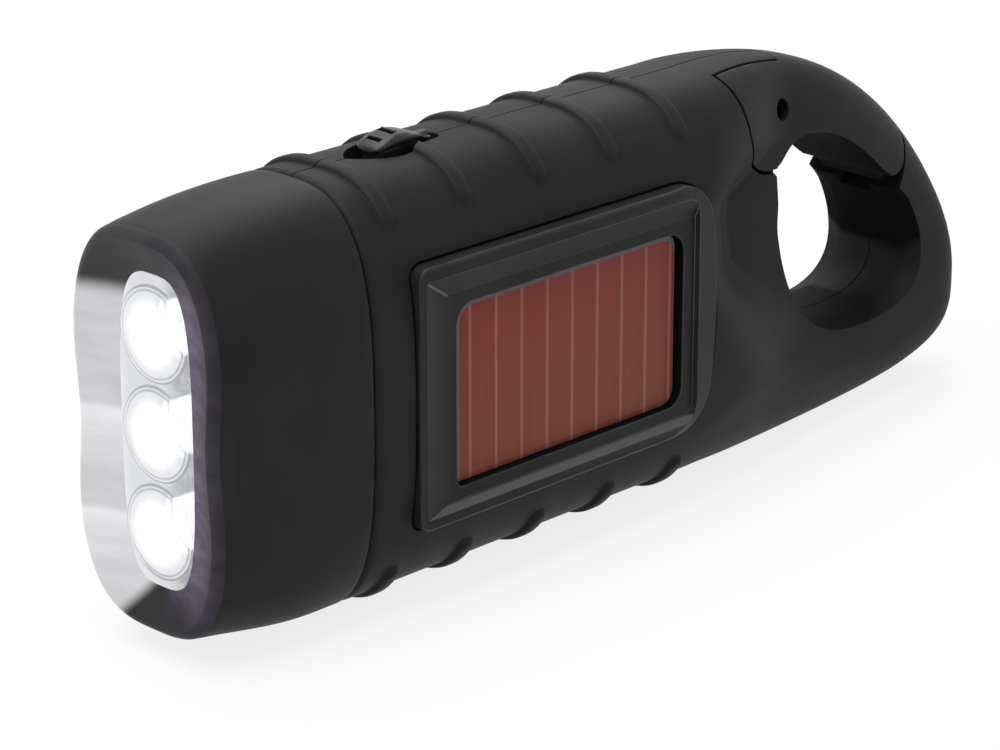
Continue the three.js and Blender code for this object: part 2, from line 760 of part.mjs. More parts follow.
// The thumb piece, highest in front and stepped down its front slope.
function sliderSolid() {
  const rear = sliderRear();
  const low = recessFloorZ + fit;
  const top = body.halfHeight + slider.rise;
  const end = rear + 2 * slider.halfLength;
  const side = new THREE.Shape();
  side.moveTo(rear, low);
  side.lineTo(rear, top - 1.6);
  side.lineTo(rear + 1.6, top - 1.1);
  side.lineTo(end - 3.6, top);
  side.lineTo(end - 2.4, top);
  const steps = 3;
  for (let i = 0; i < steps; i++) {
    const x = end - 2.4 + i * 0.8;
    side.lineTo(x, top - 0.5 - i * 0.7);
    side.lineTo(x + 0.5, top - 0.5 - i * 0.7);
  }
  side.lineTo(end, low);
  const block = prismY(side, -slider.halfWidth, slider.halfWidth);
  const oval = new THREE.Shape();
  oval.absellipse(rear + slider.halfLength, 0, slider.halfLength, slider.halfWidth, 0, 2 * Math.PI);
  const plan = prismZ(oval, low, top + 1);
  const stem = switchStem();
  const stemLow = recessFloorZ - recess.floor - fit - 1.2;
  return join(
    common(block, plan),
    box(stem.x0, stem.x1, -stem.halfWidth, stem.halfWidth, stemLow, low + 0.5),
  );
}

function switchCaseSolid() {
  const top = recessFloorZ - recess.floor - fit;
  const stem = switchStem();
  const middle = (stem.x0 + stem.x1 + slider.travel) / 2;
  return cut(
    box(
      middle - switchCase.halfLength,
      middle + switchCase.halfLength,
      -switchCase.halfWidth,
      switchCase.halfWidth,
      top - switchCase.height,
      top,
    ),
    box(
      stem.x0 - fit,
      stem.x1 + slider.travel + fit,
      -stem.halfWidth - fit,
      stem.halfWidth + fit,
      top - 1.8,
      top + 1,
    ),
  );
}

const boardLedges = [7, 20];
const boardLow = boardTopZ - board.thickness;

function mainBoardSolid() {
  const { rearX, frontX, halfWidth } = mainBoard;
  return box(rearX, frontX, -halfWidth, halfWidth, boardLow, boardTopZ);
}

function boardLedgeSolids() {
  return [-1, 1].flatMap((side) =>
    boardLedges.map((x) => {
      const near = side * (mainBoard.halfWidth - 1);
      const far = side * (body.halfWidth + 1);
      const low = boardLow - fit - 1.4;
      const bracket = box(x, x + 2, Math.min(near, far), Math.max(near, far), low, boardLow - fit);
      return common(midWall, bracket);
    }),
  );
}

// Solar frame and cell

function frameRing(y, { grow = 0, rear = 0, corner = 0 } = {}) {
  const front = frame.halfLength + grow;
  const back = -frame.halfLength - grow + rear;
  const high = frame.halfHeight + grow;
  const corners = [
    [front, high, frame.frontCorner, 0],
    [back, high, frame.rearCorner, 90],
    [back, -high, frame.rearCorner, 180],
    [front, -high, frame.frontCorner, 270],
  ];
  return corners.flatMap(([x, z, plain, angle]) => {
    const radius = Math.max(plain + grow + corner, 0.4);
    const cx = x - Math.sign(x) * radius;
    const cz = z - Math.sign(z) * radius;
    return [0, 30, 60, 90].map((step) => {
      const at = degrees(angle + step);
      return new THREE.Vector3(cx + radius * Math.cos(at), y, cz + radius * Math.sin(at));
    });
  });
}

function roundedRect(x, z, halfLength, halfHeight, radius) {
  const shape = new THREE.Shape();
  const cx = halfLength - radius;
  const cz = halfHeight - radius;
  shape.absarc(x + cx, z + cz, radius, 0, Math.PI / 2);
  shape.absarc(x - cx, z + cz, radius, Math.PI / 2, Math.PI);
  shape.absarc(x - cx, z - cz, radius, Math.PI, 1.5 * Math.PI);
  shape.absarc(x + cx, z - cz, radius, 1.5 * Math.PI, 2 * Math.PI);
  return shape;
}

const windowShape = (grow, corner) =>
  roundedRect(
    solarWindow.x,
    solarWindow.z,
    solarWindow.halfLength + grow,
    solarWindow.halfHeight + grow,
    corner,
  );

const skirtGrow = cell.border + fit + cell.skirt;
const cellBackY = cellFrontY - fit - cell.thickness;

function solarFrame() {
  const low = pocketY + fit;
  const high = body.halfWidth + frame.proud;
  const outer = loft([
    frameRing(low),
    frameRing(high - 1.3),
    frameRing(high - 0.5, { rear: 1.2 }),
    frameRing(high, { grow: -0.5, rear: frame.rearBevel }),
  ]);
  const inset = -0.5 - frame.ridge;
  const deeper = inset - frame.slopeWidth;
  const slope = loft([
    frameRing(high - frame.slopeDepth, { grow: deeper, rear: frame.rearBevel, corner: 1.6 }),
    frameRing(high, { grow: inset, rear: frame.rearBevel, corner: 1 }),
    frameRing(high + 1, { grow: inset, rear: frame.rearBevel, corner: 1 }),
  ]);
  const skirt = prismY(windowShape(skirtGrow, 1.4), cellBackY, low + 0.2, 3);
  return cut(
    join(outer, skirt),
    slope,
    prismY(windowShape(0, solarWindow.corner), 0, 20, 5),
    prismY(windowShape(cell.border + fit, 0.5), 0, cellFrontY, 2),
  );
}

const solarCell = () => prismY(windowShape(cell.border, 0.3), cellBackY, cellFrontY - fit, 2);

function solarPocket() {
  const grow = fit;
  return join(
    loft([frameRing(pocketY, { grow }), frameRing(body.halfWidth + 2, { grow })]),
    prismY(windowShape(skirtGrow + fit, 1.5), cellBackY - 3, pocketY + 1, 3),
  );
}

function pocketFloor() {
  const floor = loft([
    frameRing(pocketY - frame.floor, { grow: 1.5 }),
    frameRing(pocketY + 1, { grow: 1.5 }),
  ]);
  return common(midWall, floor);
}

// Gear train: each axle lies where its gear meshes with the one before it

const pitch = (a, b) => ((a + b) * teeth.module) / 2;

function nextAxle(from, distance, angle) {
  const turn = degrees(angle);
  return { x: from.x + distance * Math.cos(turn), z: from.z + distance * Math.sin(turn) };
}

const driveAxle = { x: crank.x, z: 0 };
const axleA = nextAxle(driveAxle, pitch(train.drive, train.pinion), train.angleA);
const axleB = nextAxle(axleA, pitch(train.gearA, train.pinion), train.angleB);
const rotorAxle = nextAxle(axleB, pitch(train.gearB, train.pinion), train.angleRotor);

// The angle of a tooth on the following wheel that puts a gap where the first wheel has a tooth.
function meshedPhase(count, phase, nextCount, angle) {
  const turn = 2 * Math.PI;
  const along = ((degrees(angle) - phase) * count) / turn;
  return degrees(angle) + Math.PI - ((0.5 - along) * turn) / nextCount;
}

const phaseA = meshedPhase(train.drive, 0, train.pinion, train.angleA);
const phaseB = meshedPhase(train.gearA, phaseA, train.pinion, train.angleB);
const phaseRotor = meshedPhase(train.gearB, phaseB, train.pinion, train.angleRotor);

const layer = {};
layer.driveLow = leftWall + train.wallGap;
layer.driveHigh = layer.driveLow + train.driveThickness;
layer.aLow = layer.driveHigh + train.layerGap;
layer.aHigh = layer.aLow + train.gearThickness;
layer.bLow = layer.aHigh + train.layerGap;
layer.bHigh = layer.bLow + train.gearThickness;
layer.plateLow = layer.bHigh + train.layerGap;
layer.plateHigh = layer.plateLow + train.plateThickness;

function wheel(count, phase, low, high, axle) {
  return prismY(gearShape(count, phase), low, high, 1).translate([axle.x, 0, axle.z]);
}

const bore = (axle, radius) => rodY(radius + fit, -30, 30, axle.x, axle.z, 14);

function driveGear() {
  return cut(
    wheel(train.drive, 0, layer.driveLow, layer.driveHigh, driveAxle),
    bore(driveAxle, crank.shaftRadius),
  );
}

function stepGear(count, phase, low, middle, high, axle) {
  return cut(
    join(wheel(train.pinion, phase, low, middle + 0.2, axle), wheel(count, phase, middle, high, axle)),
    bore(axle, train.axleRadius),
  );
}

const gearA = () =>
  stepGear(train.gearA, phaseA, layer.driveLow - 0.2, layer.aLow, layer.aHigh, axleA);
const gearB = () => stepGear(train.gearB, phaseB, layer.aLow - 0.2, layer.bLow, layer.bHigh, axleB);

const axleRoot = leftWall - 1;
const axleRod = (axle) => rodY(train.axleRadius, axleRoot, layer.plateHigh - 0.1, axle.x, axle.z, 14);
const axleHoles = () => [axleA, axleB, rotorAxle].map((axle) => axleSocket(axle));
const axleSocket = (axle) =>
  rodY(train.axleRadius + fit, axleRoot - fit, leftWall + 1, axle.x, axle.z, 14);

const can = { low: layer.plateHigh + fit };
can.high = can.low + generator.length;

const rotorPinion = () =>
  cut(
    wheel(train.pinion, phaseRotor, layer.bLow - 0.2, layer.bHigh + 0.2, rotorAxle),
    bore(rotorAxle, train.axleRadius),
  );
const rotorShaft = () => rodY(train.axleRadius, axleRoot, can.high - 0.1, rotorAxle.x, rotorAxle.z, 14);

function rotorMagnet() {
  const low = can.low + generator.canWall + fit;
  const high = can.high - generator.canWall - fit;
  const profile = ring(train.axleRadius + fit, generator.magnetRadius, low, high);
  return turnedY(profile, rotorAxle.x, rotorAxle.z, 24);
}

// A channel that opens towards the magnet and closes behind it, with the winding inside.
function statorCan() {
  const { canRadius, canWall, magnetRadius } = generator;
  const pole = magnetRadius + fit;
  const hub = train.axleRadius + fit;
  const profile = [
    [pole, can.low],
    [canRadius, can.low],
    [canRadius, can.high],
    [hub, can.high],
    [hub, can.high - canWall],
    [canRadius - canWall, can.high - canWall],
    [canRadius - canWall, can.low + canWall],
    [pole, can.low + canWall],
    [pole, can.low],
  ];
  return turnedY(profile, rotorAxle.x, rotorAxle.z, 22);
}

function statorCoil() {
  const inner = generator.magnetRadius + fit;
  const outer = generator.canRadius - generator.canWall - fit;
  const low = can.low + generator.canWall + fit;
  const high = can.high - generator.canWall - fit;
  return turnedY(ring(inner, outer, low, high), rotorAxle.x, rotorAxle.z, 22);
}

const plateSpots = [
  { x: -12, z: 15 },
  { x: -12, z: -15.5 },
  { x: 19, z: 5 },
];

function gearPlate() {
  const discs = [
    ...plateSpots.map((spot) => ({ ...spot, radius: plateScrew.postRadius + 0.8 })),
    { ...rotorAxle, radius: 5 },
    { ...driveAxle, radius: 4 },
  ];
  const points = discs.flatMap(({ x, z, radius }) =>
    Array.from({ length: 8 }, (_, i) => {
      const angle = degrees(i * 45);
      return [x + radius * Math.cos(angle), z + radius * Math.sin(angle)];
    }),
  );
  const faces = points.flatMap(([x, z]) => [
    new THREE.Vector3(x, layer.plateLow, z),
    new THREE.Vector3(x, layer.plateHigh, z),
  ]);
  const blank = solid(new ConvexGeometry(faces));
  const screws = plateSpots.flatMap((spot) => [
    bore(spot, plateScrew.shankRadius),
    turnedY(
      [
        [0, layer.plateLow + 0.2],
        [plateScrew.shankRadius + fit, layer.plateLow + 0.2],
        [plateScrew.headRadius + fit + 0.3, layer.plateHigh + 0.1],
        [0, layer.plateHigh + 0.1],
      ],
      spot.x,
      spot.z,
      14,
    ),
  ]);
  return cut(
    blank,
    bore(driveAxle, crank.shaftRadius),
    ...[axleA, axleB, rotorAxle].map((axle) => bore(axle, train.axleRadius)),
    ...screws,
  );
}

const platePosts = () =>
  plateSpots.map(({ x, z }) =>
    common(midWall, rodY(plateScrew.postRadius, leftWall - 1, layer.plateLow - fit, x, z, 16)),
  );

const plateScrewHoles = () =>
  plateSpots.map(({ x, z }) => rodY(plateScrew.shankRadius + fit, leftWall + 0.3, 0, x, z, 12));

function plateScrewSolid({ x, z }) {
  const { headRadius, shankRadius } = plateScrew;
  const profile = [
    [0, leftWall + 0.6],
    [shankRadius, leftWall + 0.6],
    [shankRadius, layer.plateLow + 0.3],
    [headRadius, layer.plateHigh],
    [0, layer.plateHigh],
  ];
  return turnedY(profile, x, z, 14);
}

// Battery and its cradle on the gear plate

const batteryY = layer.plateHigh + 2 * fit + battery.floor + battery.radius;

function batteryPack() {
  const edge = battery.radius - 0.5;
  const profile = [[0, battery.rearX]];
  for (let i = 0; i < battery.cells; i++) {
    const start = battery.rearX + i * battery.cellLength;
    const end = start + battery.cellLength;
    profile.push([edge, start], [battery.radius, start + 0.5], [battery.radius, end - 0.5]);
  }
  profile.push([edge, batteryFrontX], [0, batteryFrontX]);
  return turnedX(profile, batteryY, battery.z, 18);
}

function batteryCradle() {
  const x0 = battery.rearX + 1;
  const x1 = batteryFrontX - 1;
  const half = battery.radius - 0.4;
  const low = layer.plateHigh + fit;
  const block = box(x0, x1, low, batteryY - 1.5, battery.z - half, battery.z + half);
  return cut(block, rodX(battery.radius + fit, x0 - 1, x1 + 1, batteryY, battery.z, 20));
}

// Crank, arm and folding knob

const shaftInner = layer.plateHigh - 0.2;
const armOuterY = armY - crank.thickness;
const screwFloorY = armOuterY + 2;

function crankPad() {
  return rodY(crank.padRadius, -body.halfWidth - crank.padHeight, leftWall, crank.x, 0, 28);
}

const bushRadius = crank.shaftRadius + fit + crank.bushWall;
const bushHole = () => rodY(bushRadius + fit, -30, leftWall + 1, crank.x, 0, 24);

function crankBush() {
  const profile = ring(crank.shaftRadius + fit, bushRadius, -body.halfWidth - crank.padHeight, leftWall);
  return turnedY(profile, crank.x, 0, 20);
}

function crankShaft() {
  return cut(
    rodY(crank.shaftRadius, screwFloorY + fit, shaftInner, crank.x, 0, 18),
    rodY(1.3, screwFloorY - 1, -11, crank.x, 0, 12),
  );
}

function hubScrew() {
  const seat = screwFloorY - fit;
  const top = armOuterY + 0.2;
  const head = cut(
    rodY(3.3, top, seat, crank.x, 0, 20),
    box(crank.x - 2, crank.x + 2, top - 1, top + 0.7, -0.4, 0.4),
    box(crank.x - 0.4, crank.x + 0.4, top - 1, top + 0.7, -2, 2),
  );
  return join(head, rodY(1, seat - 0.2, -12, crank.x, 0, 12));
}

function crankArm() {
  const outline = leverShape(crank.x, crank.hubRadius, hingeX, crank.tipRadius);
  const slotHalf = knob.radius + 0.4;
  const slotRear = hingeX - knob.start - knob.length - 1;
  const slotFront = hingeX + knob.blockRadius + 0.4;
  return cut(
    prismY(outline, armOuterY, armY, 14),
    box(slotRear, slotFront, armOuterY - 1, armY + 1, -slotHalf, slotHalf),
    rodZ(knob.hingePin + fit, -20, 20, hingeX, hingeY, 16),
    rodY(crank.shaftRadius + fit, armOuterY, armY + 1, crank.x, 0, 18),
    rodY(3.6, armOuterY - 1, screwFloorY, crank.x, 0, 24),
  );
}

const blockHalf = knob.radius + 0.1;
const axleInner = hingeX - knob.hingePin - fit - 0.5;

function knobBlock() {
  return cut(
    join(
      rodZ(knob.blockRadius, -blockHalf, blockHalf, hingeX, hingeY, 20),
      rodX(2.7, hingeX - knob.start + fit, hingeX, hingeY, 0, 18),
    ),
    rodZ(knob.hingePin + fit, -20, 20, hingeX, hingeY, 16),
    rodX(knob.axleRadius + fit, hingeX - knob.start - 1, axleInner, hingeY, 0, 16),
  );
}

const knobHingePin = () =>
  rodZ(knob.hingePin, -crank.tipRadius + 0.4, crank.tipRadius - 0.4, hingeX, hingeY, 14);

const knobFar = hingeX - knob.start - knob.length;

function knobAxle() {
  return join(
    rodX(knob.axleRadius, knobFar + 0.5, axleInner - fit, hingeY, 0, 14),
    rodX(2.4, knobFar + 0.2, knobFar + 1.1, hingeY, 0, 16),
  );
}

// A grip with a slight waist that spins on its axle.
function knobSolid() {
  const near = hingeX - knob.start;
  const bored = knob.axleRadius + fit;
  const profile = [
    [bored, near],
    [knob.radius - 0.5, near],
    [knob.radius, near - 0.6],
    [knob.radius - 0.5, (near + knobFar) / 2],
    [knob.radius, knobFar + 0.6],
    [knob.radius - 0.5, knobFar],
    [2.7, knobFar],
    [2.7, knobFar + 1.4],
    [bored, knobFar + 1.4],
    [bored, near],
  ];
  return turnedX(profile, hingeY, 0, 20);
}

// Wires between the boards, the battery, the generator and the solar cell

function wires() {
  const boardY = mainBoard.halfWidth - 1.5;
  const low = boardLow - 0.5;
  const ledX = boardX - 0.5;
  const packX = batteryFrontX + 0.8;
  const coilTop = can.high + fit;
  return {
    led_wire_positive: [[20, 3, low], [20, 3, low - 3], [25, 3, 10.5], [32, 2.5, 9], [ledX, 2.5, 9]],
    led_wire_negative: [[20, 0, low], [20, 0, low - 4], [25, 0, 7.5], [32, -1, 6], [ledX, -1, 6]],
    solar_wire_positive: [
      [10, boardY, low], [10, boardY + 0.5, low - 3], [9, 6.3, 10], [8, cellBackY - fit - 0.7, 8],
    ],
    solar_wire_negative: [
      [14, boardY, low], [14, boardY + 0.5, low - 3], [13, 6.3, 10], [12, cellBackY - fit - 0.7, 8],
    ],
    battery_wire_positive: [
      [5, 2, low], [5, 2, low - 4], [-1, batteryY + 0.3, 5], [-3, batteryY, -8], [packX, batteryY, -13],
    ],
    battery_wire_negative: [
      [5, -1, low], [5, -1, low - 4], [-3, batteryY - 2.7, 5], [-5, batteryY - 2.3, -9],
      [packX, batteryY - 2.3, -16],
    ],
    generator_wire: [
      [16, 3, low], [16, 3, low - 3], [19, 5.5, 5], [20, coilTop + 1.6, -4], [16.5, coilTop + 0.6, -8],
    ],
  };
}

// Materials

const plastic = (color, roughness) => new THREE.MeshStandardMaterial({ color, roughness, metalness: 0 });
const metal = (color, roughness) => new THREE.MeshStandardMaterial({ color, roughness, metalness: 1 });

const blackShell = plastic(0x262627, 0.55);
const blackHead = plastic(0x232324, 0.5);
const blackFrame = plastic(0x2b2c2c, 0.45);
const blackGate = plastic(0x242425, 0.5);
const blackCrank = plastic(0x222223, 0.5);
const rubber = plastic(0x161616, 0.85);
const clear = plastic(0xe8eef2, 0.05);
const chrome = metal(0xdfe2e6, 0.12);
const glow = plastic(0xf6f8ff, 0.2);
const fibreglass = plastic(0x2f6b3c, 0.5);
const silicon = plastic(0x70302a, 0.25);
const steel = metal(0xb4b6b8, 0.3);
const nylon = plastic(0xe6e2d6, 0.5);
const magnet = metal(0x6b6c70, 0.45);
const copper = metal(0xb5662f, 0.35);
const wrap = plastic(0x2c6a45, 0.4);
const redWire = plastic(0xa8201a, 0.5);
const darkWire = plastic(0x1c1c1e, 0.5);

// Assembly

const flashlight = new THREE.Group();
const add = (name, shape, material) => flashlight.add(part(name, shape, material));

const grip = cut(
  join(outside, neckOuter(), ...ribSolids()),
  cavity(),
  neckInner(),
  prismY(holeShape(), -30, 30, 9),
  prismY(gateShape(gate.gap), -30, 30, 8),
);
const tongueRoot = cut(
  common(outside, tongueSolid()),
  rodY(gate.pinRadius + fit, -20, 20, gate.pivotX, pivotZ, 16),
  rodY(spring.coilRadius + spring.wire + fit, -2.4, 2.4, gate.pivotX, pivotZ, 20),
  box(gate.pivotX - 12, gate.pivotX, -springSlot, springSlot, pivotZ - 1, springArm.z1 + 0.3),
);
const whole = join(grip, tongueRoot, switchFloor(), ...boardLedgeSolids(), ...screwPosts());
const shell = cut(whole, switchWell(), catchNotch(), ...screwHoles());
const solarHalf = box(-100, 100, seam / 2, 60, -60, 60);
const crankHalf = box(-100, 100, -60, -seam / 2, -60, 60);

const solarShell = cut(join(common(shell, solarHalf), pocketFloor()), solarPocket());
const crankShell = cut(
  join(common(shell, crankHalf), crankPad(), ...platePosts()),
  bushHole(),
  ...axleHoles(),
  ...plateScrewHoles(),
);

add('solar_side_shell', solarShell, blackShell);
add('crank_side_shell', crankShell, blackShell);
screwSpots.forEach((spot, i) => add(`shell_screw_${i + 1}`, shellScrewSolid(spot), steel));

add('head_housing', headHousing(), blackHead);
add('head_seal', headSeal(), rubber);
add('lens', lensSolid(), clear);
add('reflector', reflectorSolid(), chrome);
ledHeights().forEach((z, i) => add(`led_${i + 1}`, ledSolid(z), glow));
add('led_board', ledBoard(), fibreglass);

add('solar_frame', solarFrame(), blackFrame);
add('solar_cell', solarCell(), silicon);

add('switch_slider', sliderSolid(), blackShell);
add('switch_case', switchCaseSolid(), steel);
add('main_board', mainBoardSolid(), fibreglass);

add('gate', gateSolid(), blackGate);
add('gate_pin', gatePin(), steel);
add('gate_spring', gateSpring(), steel);

add('crank_arm', crankArm(), blackCrank);
add('crank_shaft', crankShaft(), steel);
add('crank_bush', crankBush(), nylon);
add('hub_screw', hubScrew(), steel);
add('knob_block', knobBlock(), blackCrank);
add('knob_hinge_pin', knobHingePin(), steel);
add('knob_axle', knobAxle(), steel);
add('knob', knobSolid(), blackCrank);

add('drive_gear', driveGear(), nylon);
add('step_gear_a', gearA(), nylon);
add('step_gear_b', gearB(), nylon);
add('axle_a', axleRod(axleA), steel);
add('axle_b', axleRod(axleB), steel);
add('rotor_pinion', rotorPinion(), nylon);
add('rotor_shaft', rotorShaft(), steel);
add('rotor_magnet', rotorMagnet(), magnet);
add('stator_can', statorCan(), steel);
add('stator_coil', statorCoil(), copper);
add('gear_plate', gearPlate(), steel);
plateSpots.forEach((spot, i) => add(`plate_screw_${i + 1}`, plateScrewSolid(spot), steel));

add('battery_pack', batteryPack(), wrap);
add('battery_cradle', batteryCradle(), blackShell);
for (const [name, points] of Object.entries(wires()))
  add(name, tube(points, wireRadius), name.endsWith('positive') ? redWire : darkWire);

const lowest = body.halfHeight + ribs.height;
const widest = { crank: hingeY - knob.radius, solar: body.halfWidth + frame.proud };
flashlight.position.set(
  -(head.frontX + 0.4 + loop.rearX + rearSteps[0]) / 2,
  -(widest.crank + widest.solar) / 2,
  lowest,
);

export default flashlight;
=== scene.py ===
# %% [markdown]
# # A hand crank flashlight with a solar cell and a carabiner loop
# The lamp is a ribbed dark grip between a head with three lights and an open loop with a spring
# gate. A measured model of it exists already, with every piece in its place and every joint. This
# lesson puts a fine skin on the pieces that show, gives each piece its finish and lights them.

# %% Load the measured model
import bisect
import math

import bmesh
import bpy
from mathutils import Matrix, Vector
from mathutils.geometry import interpolate_bezier


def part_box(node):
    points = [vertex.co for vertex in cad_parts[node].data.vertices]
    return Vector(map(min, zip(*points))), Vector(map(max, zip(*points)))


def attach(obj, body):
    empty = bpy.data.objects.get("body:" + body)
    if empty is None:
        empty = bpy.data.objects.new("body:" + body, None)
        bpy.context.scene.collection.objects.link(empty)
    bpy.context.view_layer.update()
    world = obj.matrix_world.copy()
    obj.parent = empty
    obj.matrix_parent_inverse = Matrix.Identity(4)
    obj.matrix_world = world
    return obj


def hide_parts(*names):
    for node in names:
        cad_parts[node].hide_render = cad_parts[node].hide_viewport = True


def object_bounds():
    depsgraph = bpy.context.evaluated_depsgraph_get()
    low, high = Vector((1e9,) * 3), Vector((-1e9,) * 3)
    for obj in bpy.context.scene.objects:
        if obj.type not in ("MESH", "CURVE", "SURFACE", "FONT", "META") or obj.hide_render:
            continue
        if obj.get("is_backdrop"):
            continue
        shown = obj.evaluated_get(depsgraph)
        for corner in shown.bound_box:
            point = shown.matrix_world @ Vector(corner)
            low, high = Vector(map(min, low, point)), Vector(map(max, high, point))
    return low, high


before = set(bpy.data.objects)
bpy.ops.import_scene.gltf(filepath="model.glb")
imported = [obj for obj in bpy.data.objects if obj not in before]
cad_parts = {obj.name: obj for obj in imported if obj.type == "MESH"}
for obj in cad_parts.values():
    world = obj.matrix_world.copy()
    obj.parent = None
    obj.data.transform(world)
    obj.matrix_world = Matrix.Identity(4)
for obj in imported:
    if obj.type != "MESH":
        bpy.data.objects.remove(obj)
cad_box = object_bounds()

print("size in mm:", [round(1000 * s, 2) for s in cad_box[1] - cad_box[0]])

# %% [markdown]
# ## Where things are
# The sizes of the lamp are easiest to read in millimetres, counted from the middle of the solar
# frame and from the seam between the two half shells. The beam points along +X, the solar cell
# faces +Y and the crank lies on -Y. Each finished mesh is moved to the model's own origin and
# scaled to metres once, at the end of its making.

# %% Units and origin
MM = 0.001
ORIGIN = Vector((15.685, 4.15, 25.75))


def placed(x, y, z):
    return (Vector((x, y, z)) + ORIGIN) * MM


def from_placed(point):
    return Vector(point) / MM - ORIGIN


cell_low, cell_high = (from_placed(corner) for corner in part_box("solar_cell"))
print("solar cell from", [round(v, 2) for v in cell_low], "to", [round(v, 2) for v in cell_high])

# %% [markdown]
# ## Camera
# The photograph looks at the lamp's head and its solar side, a little from above, through a long
# lens. A long lens far away keeps the edges nearly parallel, so the distance and the focal length
# are set together. The camera comes first, because everything after it is judged through it.

# %% Camera
AIM = placed(-2.4885, 0, -6.9649)
AZIMUTH, ELEVATION, DISTANCE = 134.4534, 20.0398, 0.433236
FOCAL_LENGTH, SENSOR_WIDTH = 131.027, 36


def make_camera():
    turn, rise = math.radians(AZIMUTH), math.radians(ELEVATION)
    back = Vector((math.sin(turn) * math.cos(rise), -math.cos(turn) * math.cos(rise), math.sin(rise)))
    lens = bpy.data.cameras.new("studio_camera")
    lens.lens, lens.sensor_width = FOCAL_LENGTH, SENSOR_WIDTH
    lens.clip_start, lens.clip_end = 0.01, 20
    camera = bpy.data.objects.new("studio_camera", lens)
    camera.location = AIM + DISTANCE * back
    camera.rotation_euler = back.to_track_quat("Z", "Y").to_euler()
    bpy.context.scene.collection.objects.link(camera)
    bpy.context.scene.camera = camera
    return camera


camera = make_camera()
bpy.context.scene.view_settings.view_transform = "Standard"
print("camera at", [round(v, 4) for v in camera.location])

# %% [markdown]
# ## Tools of the workshop
# Three small tools make nearly every piece. A loft joins rings of points, each ring a circle moved
# to its shape. A prism pushes an outline along one axis. A turned piece spins a profile round its
# axis. A rod and a block are plain stock. Cuts and joins then work as they would on a bench: make
# the blank, then take away.

# %% Rings, outlines and curves
def ring(x, half_width, half_height, centre_z, crown, count):
    points = []
    for i in range(count):
        angle = 2 * math.pi * i / count
        c, s = math.cos(angle), math.sin(angle)
        size = (abs(c) ** crown + abs(s) ** crown) ** (-1 / crown)
        points.append(Vector((x, half_width * c * size, centre_z + half_height * s * size)))
    return points


def curve(*knots, steps=18):
    points = [tuple(knots[0])]
    for i in range(0, len(knots) - 3, 3):
        run = interpolate_bezier(*[Vector((*k, 0)) for k in knots[i : i + 4]], steps)
        points += [(p.x, p.y) for p in run[1:]]
    return points


def arc(centre, radius, start, end, steps=12):
    turns = [math.radians(start + (end - start) * i / steps) for i in range(steps + 1)]
    return [(centre[0] + radius * math.cos(t), centre[1] + radius * math.sin(t)) for t in turns]


def rounded_rectangle(centre, half, radius, steps=8):
    (cx, cz), (hx, hz) = centre, (half[0] - radius, half[1] - radius)
    corners = [(hx, hz, 0), (-hx, hz, 90), (-hx, -hz, 180), (hx, -hz, 270)]
    return [p for x, z, a in corners for p in arc((cx + x, cz + z), radius, a, a + 90, steps)]


def rounded_bar(half_width, half_height, steps=28):
    middle = half_height - half_width
    low = arc((0, -middle), half_width, 180, 360, steps)
    return arc((0, middle), half_width, 0, 180, steps) + low


def ellipse(centre, half, steps=64):
    turns = [2 * math.pi * i / steps for i in range(steps)]
    return [(centre[0] + half[0] * math.cos(t), centre[1] + half[1] * math.sin(t)) for t in turns]


print("a rounded bar has", len(rounded_bar(1, 3)), "points")

# %% Lofts, prisms and turned pieces
def keep_object(name, mesh):
    data = bpy.data.meshes.new(name)
    mesh.to_mesh(data)
    mesh.free()
    piece = bpy.data.objects.new(name, data)
    bpy.context.scene.collection.objects.link(piece)
    return piece


def loft(rings, name="loft"):
    mesh = bmesh.new()
    loops = []
    for points in rings:
        circle = bmesh.ops.create_circle(mesh, segments=len(points), radius=1)["verts"]
        for vert, point in zip(circle, points):
            vert.co = point
        loops.append(list(dict.fromkeys(e for vert in circle for e in vert.link_edges)))
    for near, far in zip(loops, loops[1:]):
        bmesh.ops.bridge_loops(mesh, edges=near + far)
    for end in (loops[0], loops[-1]):
        bmesh.ops.edgeloop_fill(mesh, edges=end)
    bmesh.ops.recalc_face_normals(mesh, faces=mesh.faces)
    return keep_object(name, mesh)


ALONG = {"X": lambda u, v, t: (t, u, v), "Y": lambda u, v, t: (u, t, v), "Z": lambda u, v, t: (u, v, t)}


def prism(outline, axis, low, high, name="prism"):
    mesh = bmesh.new()
    verts = [mesh.verts.new(ALONG[axis](u, v, low)) for u, v in outline]
    bmesh.ops.remove_doubles(mesh, verts=verts, dist=1e-4)
    face = mesh.faces.new(list(mesh.verts))
    grown = bmesh.ops.extrude_face_region(mesh, geom=[face])["geom"]
    moved = [v for v in grown if isinstance(v, bmesh.types.BMVert)]
    bmesh.ops.translate(mesh, verts=moved, vec=ALONG[axis](0, 0, high - low))
    bmesh.ops.recalc_face_normals(mesh, faces=mesh.faces)
    return keep_object(name, mesh)


def turned(profile, axis, centre, steps=48, name="turned"):
    closed = profile[0] == profile[-1]
    points = profile[:-1] if closed else profile
    mesh = bmesh.new()
    verts = [mesh.verts.new(Vector(ALONG[axis](r, 0, t)) + Vector(centre)) for r, t in points]
    pairs = list(zip(verts, verts[1:])) + ([(verts[-1], verts[0])] if closed else [])
    edges = [mesh.edges.new(pair) for pair in pairs]
    line = ALONG[axis](0, 0, 1)
    bmesh.ops.spin(
        mesh, geom=verts + edges, cent=centre, axis=line, dvec=(0, 0, 0),
        angle=2 * math.pi, steps=steps, use_merge=True,
    )
    bmesh.ops.remove_doubles(mesh, verts=mesh.verts, dist=1e-4)
    bmesh.ops.recalc_face_normals(mesh, faces=mesh.faces)
    return keep_object(name, mesh)


def both_ends(half_profile):
    return [(r, -t) for r, t in half_profile] + half_profile[::-1]


def rod(radius, axis, low, high, centre, steps=48):
    return turned([(0, low), (radius, low), (radius, high), (0, high)], axis, centre, steps)


